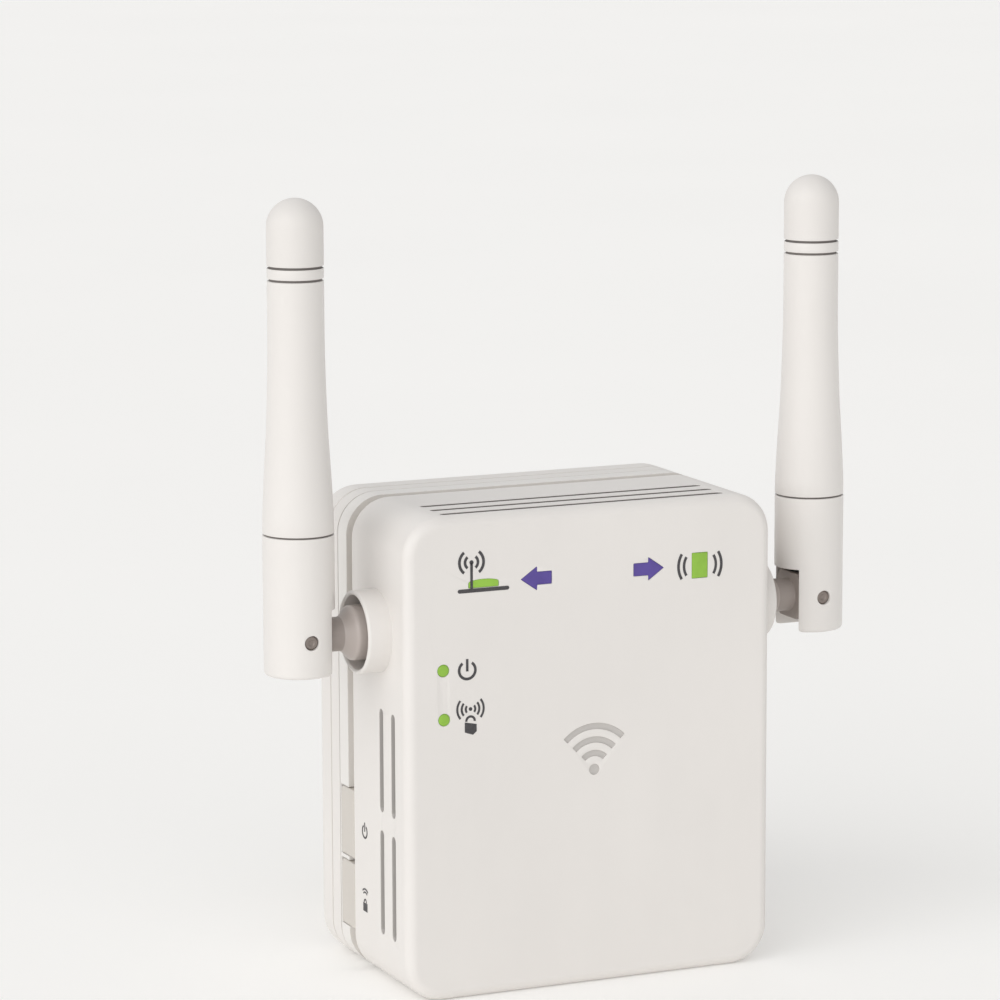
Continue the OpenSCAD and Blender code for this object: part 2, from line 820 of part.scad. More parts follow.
module swivel_clip() {
    color(steel) in_housing() translate([0, swivel_y, swivel_z]) difference() {
        rod_x(clip_x + 0.02, washer_x - 0.02, 4.4);
        rod_x(clip_x - over, washer_x + over, clip_groove_r + 0.02);
        // The clip is open to the front, where it was pushed on
        block([clip_x - over, washer_x + over], [-5, 0], [-1.6, 1.6]);
    }
}
module right_swivel_clip() { swivel_clip(); }
module left_swivel_clip() { on_left() swivel_clip(); }

module swivel_washer() {
    color(steel) in_housing() translate([0, swivel_y, swivel_z]) difference() {
        rod_x(washer_x, collar_floor_x - collar_floor_t, 4.9);
        rod_x(washer_x - over, collar_floor_x, journal_r + running_gap);
    }
}
module right_swivel_washer() { swivel_washer(); }
module left_swivel_washer() { on_left() swivel_washer(); }

coax_end_x = clip_x - 1.1;
coax_bend = 3;
coax_plug_x = 13;

// The lead inside the housing, from the swivel round one bend to its plug on the main board
module coax() {
    bend_x = coax_plug_x + coax_bend;
    color("#4A4A4E") in_housing() {
        translate([0, swivel_y, swivel_z]) rod_x(bend_x, coax_end_x, feed_r);
        translate([bend_x, swivel_y - coax_bend, swivel_z]) rotate([0, 0, 90]) rotate_extrude(angle = 90) {
            translate([coax_bend, 0]) circle(r = feed_r, $fn = 24);
        }
        translate([coax_plug_x, 0, swivel_z]) rod_y(board_back, swivel_y - coax_bend, 1.3);
    }
}
module right_coax() { coax(); }
module left_coax() { on_left() coax(); }

// The lead inside the swivel, which turns with it
module feed() {
    turn_x = antenna_x - 2.2;
    color("#4A4A4E") in_housing() translate([0, swivel_y, swivel_z]) {
        rod_x(clip_x - 0.9, turn_x, feed_r);
        translate([turn_x, 0, 0]) rod_z(0, knuckle_half, feed_r);
        translate([turn_x, 0, 0]) sphere(r = feed_r, $fn = 24);
    }
}
module right_feed() { feed(); }
module left_feed() { on_left() feed(); }

// ---- antenna -----------------------------------------------------------------------------------

module antenna_base() {
    low = swivel_z - hinge_rise;
    color(blade_white) in_housing() translate([antenna_x, swivel_y, 0]) difference() {
        union() {
            rod_z(low, blade_z, base_r);
            rod_z(blade_z - 0.1, blade_z + spigot_len, spigot_r);
        }
        // Slot for the knuckle, open to the housing and below
        translate([0, 0, low - over]) linear_extrude(swivel_z + slot_rise - low + over) polygon([
            [-base_r - over, -slot_w / 2], [slot_x - 0.9, -slot_w / 2], [slot_x, 1 - slot_w / 2],
            [slot_x, slot_w / 2 - 1], [slot_x - 0.9, slot_w / 2], [-base_r - over, slot_w / 2]
        ]);
        rod_z(swivel_z + slot_rise - over, blade_z + spigot_len + over, 2.9);
        // Rounded corner of the fork, on the side of the housing
        translate([-base_r, 0, low]) difference() {
            block([-over, fork_corner_r], [-base_r, base_r], [-over, fork_corner_r]);
            translate([fork_corner_r, 0, fork_corner_r]) rod_y(-base_r - over, base_r + over, fork_corner_r);
        }
        translate([0, 0, swivel_z]) rod_y(-base_r - over, base_r + over, hinge_pin_r + 0.02);
    }
}
module right_antenna_base() { antenna_base(); }
module left_antenna_base() { on_left() antenna_base(); }

// Height and depth of the shadow gap between the base and the blade
seam_gap = 0.25;
seam_depth = 0.3;
// Distances of the two ring grooves below the tip
ring_drop = [9.2, 10.9];
ring_w = 0.35;
ring_depth = 0.3;

module antenna_blade() {
    steps = 8;
    // Share of the whole taper left at heights above the seam
    taper = [[seam_gap, 1], [2.3, 0.96], [8, 0.7], [13.6, 0.36], [19.3, 0.15], [24, 0.03]];
    waist_z = blade_z + 24;
    side = [for (t = taper) [tip_r + (base_r - tip_r) * t[1], blade_z + t[0]]];
    dome = [for (i = [1:steps]) [tip_r * cos(90 * i / steps), tip_z - tip_r + tip_r * sin(90 * i / steps)]];
    hollow_top = tip_z - tip_r - 0.6;
    color(blade_white) in_housing() translate([antenna_x, swivel_y, 0]) rotate_extrude() difference() {
        foot = [
            [0, blade_z], [base_r - seam_depth, blade_z], [base_r - seam_depth, blade_z + seam_gap]
        ];
        polygon(concat(foot, side, [[tip_r, tip_z - tip_r]], dome));
        for (d = ring_drop) translate([tip_r - ring_depth, tip_z - d - ring_w / 2]) square([1, ring_w]);
        polygon([
            [-1, blade_z - over], [spigot_r + 0.02, blade_z - over], [spigot_r + 0.02, blade_z + 3.2],
            [3.3, blade_z + 10], [tip_r - blade_wall, waist_z], [tip_r - blade_wall, hollow_top],
            [0, hollow_top + 1.8], [-1, hollow_top + 1.8]
        ]);
    }
}
module right_antenna_blade() { antenna_blade(); }
module left_antenna_blade() { on_left() antenna_blade(); }

module hinge_pin() {
    half = base_r - 0.38;
    color("#6E6864") in_housing() translate([antenna_x, swivel_y, swivel_z]) rod_y(-half, half, hinge_pin_r);
}
module right_hinge_pin() { hinge_pin(); }
module left_hinge_pin() { on_left() hinge_pin(); }

// Sleeve dipole: coaxial tail, brass sleeve and wire whip
module radiator() {
    color("#C8A24A") in_housing() translate([antenna_x, swivel_y, 0]) {
        rod_z(swivel_z + slot_rise + 1.5, blade_z + 6, feed_r);
        rod_z(blade_z + 5, blade_z + 21, 2.1);
        rod_z(blade_z + 20.9, tip_z - 7, 0.5);
    }
}
module right_radiator() { radiator(); }
module left_radiator() { on_left() radiator(); }

front_cover();
mid_frame();
rear_cover();
plug_boss();
pin_carrier();
left_mains_pin();
right_mains_pin();
power_light();
pairing_light();
router_light();
device_light();
left_arrow_light();
right_arrow_light();
light_baffle();
indicator_leds();
main_board();
rf_shield();
system_chip();
memory_chip();
ethernet_jack();
jack_contacts();
power_board();
transformer_core();
transformer_coil();
bulk_capacitors();
output_capacitors();
mains_choke();
mains_fuse();
board_header();
isolation_sheet();
button_board();
power_switch();
pairing_switch();
reset_switch();
power_button();
power_plunger();
pairing_button();
pairing_plunger();
reset_button();
case_screws();
board_screws();
left_swivel();
left_swivel_clip();
left_swivel_washer();
left_coax();
left_feed();
left_antenna_base();
left_antenna_blade();
left_hinge_pin();
left_radiator();
right_swivel();
right_swivel_clip();
right_swivel_washer();
right_coax();
right_feed();
right_antenna_base();
right_antenna_blade();
right_hinge_pin();
right_radiator();
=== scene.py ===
"""Looks of the wall-plug range extender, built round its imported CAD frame."""

import json
import math

import bmesh
import bpy
from mathutils import Matrix, Vector
from mathutils.geometry import delaunay_2d_cdt


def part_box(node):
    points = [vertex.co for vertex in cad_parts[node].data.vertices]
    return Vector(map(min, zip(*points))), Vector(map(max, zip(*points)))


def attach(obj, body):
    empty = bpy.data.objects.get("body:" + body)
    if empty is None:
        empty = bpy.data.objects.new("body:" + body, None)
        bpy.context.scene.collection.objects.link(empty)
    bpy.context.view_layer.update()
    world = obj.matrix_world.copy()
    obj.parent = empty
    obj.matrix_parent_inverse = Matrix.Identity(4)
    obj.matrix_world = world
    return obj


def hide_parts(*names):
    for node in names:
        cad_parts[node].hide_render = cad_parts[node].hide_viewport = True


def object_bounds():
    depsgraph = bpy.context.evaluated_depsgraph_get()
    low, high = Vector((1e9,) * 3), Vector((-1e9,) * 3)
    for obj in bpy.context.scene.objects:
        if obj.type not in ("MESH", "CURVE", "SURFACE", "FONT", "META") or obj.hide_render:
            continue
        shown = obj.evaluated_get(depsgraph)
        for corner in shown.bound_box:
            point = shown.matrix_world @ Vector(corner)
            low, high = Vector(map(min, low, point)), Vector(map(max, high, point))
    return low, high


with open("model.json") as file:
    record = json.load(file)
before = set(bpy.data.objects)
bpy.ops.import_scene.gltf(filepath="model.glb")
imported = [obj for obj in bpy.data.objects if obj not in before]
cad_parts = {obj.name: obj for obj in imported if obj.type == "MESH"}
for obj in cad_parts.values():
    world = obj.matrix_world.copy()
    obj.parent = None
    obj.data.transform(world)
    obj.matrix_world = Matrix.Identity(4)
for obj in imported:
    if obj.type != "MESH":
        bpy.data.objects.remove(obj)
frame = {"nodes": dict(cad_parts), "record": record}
cad_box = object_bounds()

MM = 0.001
scene = bpy.context.scene

# Housing coordinates, in mm: the origin is the middle of the front face, y runs back into the
# housing and z runs up from the housing's centre.
frame_lo, frame_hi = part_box("mid_frame")
ORIGIN = Vector(
    ((frame_lo.x + frame_hi.x) / 2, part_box("front_cover")[0].y, (frame_lo.z + frame_hi.z) / 2)
)


def from_housing(x, y, z):
    return ORIGIN + Vector((x, y, z)) * MM


def housing_box(node):
    lo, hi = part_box(node)
    return (lo - ORIGIN) / MM, (hi - ORIGIN) / MM


# ---- sizes in mm, partly taken from the CAD nodes ----------------------------------------------

BODY_W = (frame_hi.x - frame_lo.x) / MM
BODY_H = (frame_hi.z - frame_lo.z) / MM
HALF_W, HALF_H = BODY_W / 2, BODY_H / 2
FRONT_D = housing_box("front_cover")[1].y
BODY_D = housing_box("rear_cover")[1].y
REAR_Y = 24.6
GROOVE = (FRONT_D, FRONT_D + 2.1)
GROOVE_DEPTH = 1.2
BAND_END = GROOVE[1] + 3.1
CORNER_R = 5.5
WALL = 1.8
COLLAR_X = housing_box("front_cover")[1].x
COLLAR_R = 5.75
swivel_lo, swivel_hi = housing_box("right_hinge_pin")
ANTENNA_X = (swivel_lo.x + swivel_hi.x) / 2
SWIVEL_Y = (swivel_lo.y + swivel_hi.y) / 2
SWIVEL_Z = (swivel_lo.z + swivel_hi.z) / 2
base_lo, base_hi = housing_box("right_antenna_base")
BASE_R = (base_hi.y - base_lo.y) / 2
BASE_Z = base_lo.z
blade_lo, blade_hi = housing_box("right_antenna_blade")
BLADE_Z, TIP_Z = blade_lo.z, blade_hi.z
TIP_R = 3.84
PLUG_Z = -13.0
BOSS_END = housing_box("plug_boss")[1].y
POSTS = [(sx * 21.4, sz * 28.2) for sx in (-1, 1) for sz in (-1, 1)]


# ---- mesh building -----------------------------------------------------------------------------


def add_object(name, verts, faces):
    mesh = bpy.data.meshes.new(name)
    mesh.from_pydata([from_housing(*v) for v in verts], [], faces)
    bm = bmesh.new()
    bm.from_mesh(mesh)
    bmesh.ops.recalc_face_normals(bm, faces=bm.faces)
    bm.to_mesh(mesh)
    bm.free()
    ob = bpy.data.objects.new(name, mesh)
    scene.collection.objects.link(ob)
    return ob


def loft(name, sections, cyclic=False):
    """A skin through rings of equal length, capped at both ends unless the last joins the first."""
    n, rows = len(sections[0]), len(sections)
    verts = [p for section in sections for p in section]
    faces = []
    for j in range(rows if cyclic else rows - 1):
        a, b = j * n, (j + 1) % rows * n
        for i in range(n):
            k = (i + 1) % n
            faces.append((a + i, a + k, b + k, b + i))
    if not cyclic:
        faces.append(tuple(range(n)))
        faces.append(tuple(range((rows - 1) * n, rows * n)))
    return add_object(name, verts, faces)


def rounded_rect(inset=0.0, w=BODY_W, h=BODY_H, r=CORNER_R, steps=12, least=0.6):
    r = max(r - inset, least)
    x, z = w / 2 - inset - r, h / 2 - inset - r
    points = []
    for cx, cz, start in ((x, z, 0), (-x, z, 90), (-x, -z, 180), (x, -z, 270)):
        for i in range(steps + 1):
            a = math.radians(start + 90 * i / steps)
            points.append((cx + r * math.cos(a), cz + r * math.sin(a)))
    return points


def shell_skin(name, profile, cyclic=False):
    """The housing's outline swept through a profile of (y, inset)."""
    return loft(name, [[(x, y, z) for x, z in rounded_rect(i)] for y, i in profile], cyclic)


def slab(name, outline, y0, y1, at=(0, 0)):
    return loft(name, [[(at[0] + x, y, at[1] + z) for x, z in outline] for y in (y0, y1)])


def circle(r, n=48, start=0.0):
    return [
        (r * math.cos(start + 2 * math.pi * i / n), r * math.sin(start + 2 * math.pi * i / n))
        for i in range(n)
    ]


def turned(name, profile, centre, axis, n=72, cyclic=False):
    """A profile of (radius, height) turned about the x, y or z axis through centre."""
    verts, faces, rings = [], [], []

    def put(u, v, t):
        spot = {"x": (t, u, v), "y": (u, t, v), "z": (u, v, t)}[axis]
        verts.append(tuple(c + s for c, s in zip(centre, spot)))
        return len(verts) - 1

    for r, t in profile:
        if r < 1e-6:
            rings.append([put(0, 0, t)])
        else:
            rings.append([put(u, v, t) for u, v in circle(r, n)])
    pairs = list(zip(rings, rings[1:])) + ([(rings[-1], rings[0])] if cyclic else [])
    for a, b in pairs:
        for i in range(n):
            k = (i + 1) % n
            if len(a) == 1 and len(b) > 1:
                faces.append((a[0], b[k], b[i]))
            elif len(b) == 1 and len(a) > 1:
                faces.append((a[i], a[k], b[0]))
            elif len(a) > 1:
                faces.append((a[i], a[k], b[k], b[i]))
    return add_object(name, verts, faces)


def cuboid(name, x, y, z):
    outline = [(x[0], z[0]), (x[1], z[0]), (x[1], z[1]), (x[0], z[1])]
    return slab(name, outline, *y)


def stadium(half, r, n=12):
    """A round-ended slot outline along its first coordinate."""
    points = []
    for cx, start in ((half - r, -90), (r - half, 90)):
        for i in range(n + 1):
            a = math.radians(start + 180 * i / n)
            points.append((cx + r * math.cos(a), r * math.sin(a)))
    return points


def evaluate(ob):
    graph = bpy.context.evaluated_depsgraph_get()
    mesh = bpy.data.meshes.new_from_object(ob.evaluated_get(graph))
    ob.modifiers.clear()
    old = ob.data
    ob.data = mesh
    mesh.name = ob.name
    bpy.data.meshes.remove(old)


def combine(ob, others, operation="DIFFERENCE", flat=0.3):
    for other in others:
        m = ob.modifiers.new("combine", "BOOLEAN")
        m.operation, m.solver, m.object = operation, "EXACT", other
    evaluate(ob)
    for other in others:
        bpy.data.objects.remove(other)
    clean(ob, flat=flat)
    return ob


def clean(ob, weld=8e-6, flat=0.3):
    bm = bmesh.new()
    bm.from_mesh(ob.data)
    bmesh.ops.remove_doubles(bm, verts=bm.verts, dist=weld)
    bmesh.ops.dissolve_degenerate(bm, edges=bm.edges, dist=weld)
    if flat:
        bmesh.ops.dissolve_limit(
            bm, angle_limit=math.radians(flat), verts=bm.verts, edges=bm.edges, delimit={"MATERIAL"}
        )
    bm.to_mesh(ob.data)
    bm.free()


def join(name, parts):
    mesh = bpy.data.meshes.new(name)
    bm = bmesh.new()
    for part in parts:
        bm.from_mesh(part.data)
        bpy.data.objects.remove(part)
    bm.to_mesh(mesh)
    bm.free()
    ob = bpy.data.objects.new(name, mesh)
    scene.collection.objects.link(ob)
    return ob


def mirrored(ob, name):
    """A copy on the other side of the housing's middle."""
    twin = bpy.data.objects.new(name, ob.data.copy())
    scene.collection.objects.link(twin)
    twin.data.transform(
        Matrix.Translation((2 * ORIGIN.x, 0, 0)) @ Matrix.Diagonal((-1, 1, 1, 1))
    )
    twin.data.flip_normals()
    return twin


def finish_edges(ob, width, segments=2, angle=32):
    """Softens the sharp edges and shades the rest smooth."""
    m = ob.modifiers.new("soften", "BEVEL")
    m.width, m.segments, m.limit_method = width * MM, segments, "ANGLE"
    m.angle_limit = math.radians(angle)
    m.use_clamp_overlap, m.loop_slide = False, False
    m.miter_outer = "MITER_ARC"
    evaluate(ob)
    mark_edges(ob, width)
    retile(ob)
    for p in ob.data.polygons:
        p.use_smooth = True
    ob.data.set_sharp_from_angle(angle=math.radians(40))
    m = ob.modifiers.new("normals", "WEIGHTED_NORMAL")
    m.mode, m.weight, m.keep_sharp = "FACE_AREA", 60, True
    evaluate(ob)


def mark_edges(ob, width):
    """Marks the narrow faces of softened outer edges, where handling rubs the surface."""
    bm = bmesh.new()
    bm.from_mesh(ob.data)
    mark = bm.loops.layers.float.new("rubbed")
    for face in bm.faces:
        perimeter = sum(e.calc_length() for e in face.edges)
        if 2 * face.calc_area() > 1.2 * width * MM * perimeter:
            continue
        for loop in face.loops:
            bends = [e.calc_face_angle_signed(0.0) for e in loop.vert.link_edges]
            loop[mark] = min(1.0, max(0.0, math.degrees(max(bends)) - 12) / 10)
    bm.to_mesh(ob.data)
    bm.free()


def retile(ob):
    """Fills each flat area that has many corners with triangles that follow its outline and holes."""
    bm = bmesh.new()
    bm.from_mesh(ob.data)
    bmesh.ops.dissolve_degenerate(bm, edges=bm.edges, dist=5e-6)
    bm.normal_update()
    mark = bm.loops.layers.float["rubbed"]
    for seed in list(bm.faces):
        if not seed.is_valid or len(seed.verts) < 5 or any(loop[mark] for loop in seed.loops):
            continue
        normal = seed.normal.copy()
        region, queue = {seed}, [seed]
        while queue:
            for edge in queue.pop().edges:
                for face in edge.link_faces:
                    if face not in region and face.normal.dot(normal) > 0.999999:
                        region.add(face)
                        queue.append(face)
        border = [e for face in region for e in face.edges if sum(f in region for f in e.link_faces) == 1]
        corners = list(dict.fromkeys(v for e in border for v in e.verts))
        index = {v: i for i, v in enumerate(corners)}
        across = normal.orthogonal().normalized()
        up = normal.cross(across)
        flat = [Vector((v.co.dot(across), v.co.dot(up))) / MM for v in corners]
        lines = [tuple(index[v] for v in e.verts) for e in border]
        points, _, triangles, sources, _, _ = delaunay_2d_cdt(flat, lines, [], 0, 1e-6)
        if len(points) != len(corners):
            continue
        spans = [(flat[a], flat[b]) for a, b in lines]
        filled, sides = [], {}
        for triangle in triangles:
            middle = sum((points[i] for i in triangle), Vector((0, 0))) / 3
            crossings = 0
            for a, b in spans:
                if (a.y > middle.y) != (b.y > middle.y):
                    crossings += middle.x < a.x + (b.x - a.x) * (middle.y - a.y) / (b.y - a.y)
            if crossings % 2:
                found = [sources[i][0] for i in triangle]
                filled.append([corners[i] for i in found])
                for pair in zip(found, found[1:] + found[:1]):
                    sides[frozenset(pair)] = sides.get(frozenset(pair), 0) + 1
        if {pair for pair, uses in sides.items() if uses == 1} != {frozenset(line) for line in lines}:
            continue
        bmesh.ops.delete(bm, geom=list(region), context="FACES_KEEP_BOUNDARY")
        for triangle in filled:
            face = bm.faces.new(triangle)
            face.normal_update()
            if face.normal.dot(normal) < 0:
                face.normal_flip()
    bmesh.ops.holes_fill(bm, edges=[e for e in bm.edges if len(e.link_faces) == 1], sides=6)
    bm.to_mesh(ob.data)
    bm.free()


def paint(ob, material, chosen):
    """Gives a second material to the faces that chosen picks by their centre, in housing coordinates."""
    index = len(ob.data.materials)
    ob.data.materials.append(material)
    for p in ob.data.polygons:
        if chosen(*((p.center - ORIGIN) / MM)):
            p.material_index = index


def dress(ob, body, nodes, material, width=0.15, segments=2, angle=32):
    """Finishes a piece, gives it its material and puts it in place of its CAD nodes."""
    if width:
        finish_edges(ob, width, segments, angle)
    if material:
        ob.data.materials.clear()
        ob.data.materials.append(material)
    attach(ob, body)
    if nodes:
        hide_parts(*nodes)
    return ob


# ---- materials ---------------------------------------------------------------------------------


def srgb(r, g, b):
    return tuple(
        (c / 255 / 12.92 if c <= 10.3 else ((c / 255 + 0.055) / 1.055) ** 2.4) for c in (r, g, b)
    ) + (1.0,)


class Nodes:
    def __init__(self, name):
        self.material = bpy.data.materials.new(name)
        self.material.use_nodes = True
        self.tree = self.material.node_tree
        self.shader = self.tree.nodes["Principled BSDF"]
        self.place = self.add("ShaderNodeTexCoord").outputs["Object"]

    def add(self, kind, **values):
        node = self.tree.nodes.new(kind)
        for key, value in values.items():
            setattr(node, key, value)
        return node

    def link(self, output, socket):
        self.tree.links.new(output, socket)

    def noise(self, scale, detail=2.0, rough=0.5, stretch=None):
        node = self.add("ShaderNodeTexNoise")
        node.inputs["Scale"].default_value = scale
        node.inputs["Detail"].default_value = detail
        node.inputs["Roughness"].default_value = rough
        if stretch:
            mapping = self.add("ShaderNodeMapping")
            mapping.inputs["Scale"].default_value = stretch
            self.link(self.place, mapping.inputs["Vector"])
            self.link(mapping.outputs[0], node.inputs["Vector"])
        else:
            self.link(self.place, node.inputs["Vector"])
        return node.outputs[0]

    def spread(self, value, low, high, start=0.3, end=0.7):
        node = self.add("ShaderNodeMapRange")
        self.link(value, node.inputs["Value"])
        for key, v in zip(("From Min", "From Max", "To Min", "To Max"), (start, end, low, high)):
            node.inputs[key].default_value = v
        return node.outputs[0]

    def mix(self, factor, a, b):
        node = self.add("ShaderNodeMix", data_type="RGBA")
        self.link(factor, node.inputs[0])
        for socket, value in ((node.inputs[6], a), (node.inputs[7], b)):
            if isinstance(value, tuple):
                socket.default_value = value
            else:
                self.link(value, socket)
        return node.outputs[2]

    def maths(self, operation, a, b):
        node = self.add("ShaderNodeMath", operation=operation)
        for socket, value in zip(node.inputs, (a, b)):
            if isinstance(value, (int, float)):
                socket.default_value = value
            else:
                self.link(value, socket)
        return node.outputs[0]

    def edges(self):
        """1 along the edges that a fingertip rubs, 0 on the faces."""
        return self.add("ShaderNodeAttribute", attribute_name="rubbed").outputs["Fac"]

    def bump(self, height, strength, distance, base=None):
        node = self.add("ShaderNodeBump")
        node.inputs["Strength"].default_value = strength
        node.inputs["Distance"].default_value = distance * MM
        self.link(height, node.inputs["Height"])
        if base:
            self.link(base, node.inputs["Normal"])
        return node.outputs[0]


def shade(colour, factor):
    return tuple(min(1.0, c * factor) for c in colour[:3]) + (1.0,)


def plastic(
    name, colour, rough=0.4, grain=0.35, depth=0.012, vary=0.03, wear=0.06, specular=0.45
):
    """Moulded plastic: spark-eroded grain, faint flow and handling marks, rubbed edges."""
    n = Nodes(name)
    base = srgb(*colour)
    clouds = n.noise(38.0, 3.0)
    flow = n.noise(120.0, 4.0, 0.6, stretch=(1.0, 1.0, 0.25))
    tone = n.spread(n.maths("ADD", n.maths("MULTIPLY", clouds, 0.6), n.maths("MULTIPLY", flow, 0.4)),
                    0.0, 1.0)
    body = n.mix(tone, shade(base, 1 - vary), shade(base, 1 + vary / 2))
    worn = n.maths("MULTIPLY", n.edges(), n.spread(n.noise(900.0, 2.0), 0.4, 1.0))
    n.link(n.mix(n.maths("MULTIPLY", worn, wear * 4), body, shade(base, 1 + wear)),
           n.shader.inputs["Base Color"])
    fine = n.noise(1000.0 / grain, 2.0, 0.55)
    sheen = n.maths("ADD", n.spread(flow, rough - 0.05, rough + 0.05),
                    n.spread(fine, -0.03, 0.03))
    n.link(n.maths("SUBTRACT", sheen, n.maths("MULTIPLY", worn, 0.1)), n.shader.inputs["Roughness"])
    wave = n.bump(n.noise(60.0, 1.0), 0.25, 0.02)
    n.link(n.bump(fine, 0.5, depth, wave), n.shader.inputs["Normal"])
    n.shader.inputs["Specular IOR Level"].default_value = specular
    return n.material


def metal(name, colour, rough=0.25, stretch=(1.0, 60.0, 1.0), scale=900.0, vary=0.1, tarnish=None):
    """Bare metal with turning or rolling lines, slight tarnish and bright edges."""
    n = Nodes(name)
    base = srgb(*colour)
    lines = n.noise(scale, 3.0, 0.6, stretch=stretch)
    stain = n.spread(n.noise(260.0, 4.0, 0.6), 0.0, 1.0)
    body = n.mix(stain, shade(base, 1 - vary), base if tarnish is None else srgb(*tarnish))
    n.link(n.mix(n.maths("MULTIPLY", n.edges(), 0.5), body, shade(base, 1.15)),
           n.shader.inputs["Base Color"])
    n.link(n.maths("ADD", n.spread(lines, rough - 0.07, rough + 0.09), n.spread(stain, -0.04, 0.05)),
           n.shader.inputs["Roughness"])
    n.link(n.bump(lines, 0.35, 0.006), n.shader.inputs["Normal"])
    n.shader.inputs["Metallic"].default_value = 1.0
    return n.material


def board(name, colour, stretch=(1.0, 1.0, 1.0)):
    """Circuit board: solder mask over a glass weave, with copper pours that show as lighter areas."""
    n = Nodes(name)
    base = srgb(*colour)
    cells = n.add("ShaderNodeTexBrick")
    cells.inputs["Scale"].default_value = 180.0
    cells.inputs["Mortar Size"].default_value = 0.03
    cells.inputs["Color1"].default_value = shade(base, 0.85)
    cells.inputs["Color2"].default_value = shade(base, 1.25)
    cells.inputs["Mortar"].default_value = shade(base, 0.6)
    turn = n.add("ShaderNodeMapping")
    turn.inputs["Rotation"].default_value = (math.pi / 2, 0, 0)
    turn.inputs["Scale"].default_value = stretch
    n.link(n.place, turn.inputs["Vector"])
    n.link(turn.outputs[0], cells.inputs["Vector"])
    n.link(n.mix(n.spread(n.noise(300.0, 3.0), 0.0, 0.35), cells.outputs["Color"], shade(base, 1.5)),
           n.shader.inputs["Base Color"])
    weave = n.noise(2600.0, 1.0)
    n.link(n.spread(weave, 0.25, 0.4), n.shader.inputs["Roughness"])
    n.link(n.bump(cells.outputs["Fac"], 0.4, 0.03, n.bump(weave, 0.3, 0.01)), n.shader.inputs["Normal"])
    return n.material


def glow(name, colour, strength):
    """Tinted translucent resin, lit a little from behind."""
    n = Nodes(name)
    base = srgb(*colour)
    haze = n.spread(n.noise(420.0, 3.0), 0.0, 1.0)
    n.link(n.mix(haze, shade(base, 0.9), shade(base, 1.08)), n.shader.inputs["Base Color"])
    fine = n.noise(3500.0, 2.0)
    n.link(n.spread(fine, 0.3, 0.42), n.shader.inputs["Roughness"])
    n.link(n.bump(fine, 0.3, 0.006), n.shader.inputs["Normal"])
    n.shader.inputs["Emission Color"].default_value = base
    n.shader.inputs["Emission Strength"].default_value = strength
    n.shader.inputs["Specular IOR Level"].default_value = 0.4
    return n.material


def ink(name, colour):
    """Pad-printed ink, a little uneven and thin at its edges."""
    n = Nodes(name)
    base = srgb(*colour)
    spots = n.noise(2200.0, 3.0, 0.6)
    n.link(n.mix(n.spread(spots, 0.0, 1.0), shade(base, 0.8), shade(base, 1.35)),
           n.shader.inputs["Base Color"])
    n.link(n.spread(spots, 0.45, 0.62), n.shader.inputs["Roughness"])
    n.link(n.bump(spots, 0.3, 0.004), n.shader.inputs["Normal"])
    return n.material


SHELL = plastic("shell_plastic", (230, 226, 222), rough=0.42)
FRAME = plastic("frame_plastic", (231, 228, 224), rough=0.38)
# Painted shade: the shell's plastic made darker for the groove, its step and the seams, where shade falls.
GROOVE_SHADE = plastic("groove_shade_plastic", (218, 214, 209), rough=0.55, depth=0.02, vary=0.05)
# Painted shade: a darker grey for the side slots' walls and the hollows of the pressed-in mark.
RECESS_SHADE = plastic("recess_shade_plastic", (198, 194, 190), rough=0.6, depth=0.02, vary=0.05)
# Painted shade: a dark grey for the top slots' walls and the antenna's narrow grooves.
DEEP_SHADE = plastic("deep_recess_shade_plastic", (122, 116, 112), rough=0.6, depth=0.02, vary=0.08)
BUTTON = plastic("button_plastic", (206, 200, 192), rough=0.36, grain=0.28, depth=0.008, wear=0.08)
ANTENNA = plastic("antenna_plastic", (229, 225, 221), rough=0.36, grain=0.5, depth=0.01)
ANTENNA_TIP = plastic("antenna_tip_plastic", (227, 223, 219), rough=0.5, grain=0.3, depth=0.016)
CARRIER = plastic("carrier_plastic", (214, 210, 204), rough=0.5, depth=0.018)
SWIVEL = plastic("swivel_plastic", (184, 174, 168), rough=0.4, grain=0.3, depth=0.01, wear=0.1)
# Painted shadow: the knuckle end of the swivel made darker where the antenna shades it.
KNUCKLE_SHADOW = plastic("knuckle_shadow_plastic", (158, 148, 142), rough=0.45, grain=0.3, depth=0.01, wear=0.1)
PIN_GREY = metal("hinge_pin_steel", (150, 140, 134), rough=0.45, stretch=(1, 1, 1), scale=1800.0)
PIN_METAL = metal("mains_pin_nickel", (206, 201, 190), rough=0.26, tarnish=(188, 180, 160))
GREEN = glow("green_guide", (142, 187, 68), 0.04)
VIOLET = glow("violet_guide", (88, 72, 148), 0.03)
INK = ink("printed_ink", (66, 64, 66))
DARK = plastic("black_plastic", (42, 42, 44), rough=0.45, vary=0.15, wear=0.2)
STEEL = metal("screw_steel", (176, 176, 178), rough=0.3, stretch=(1, 1, 1), scale=1500.0)

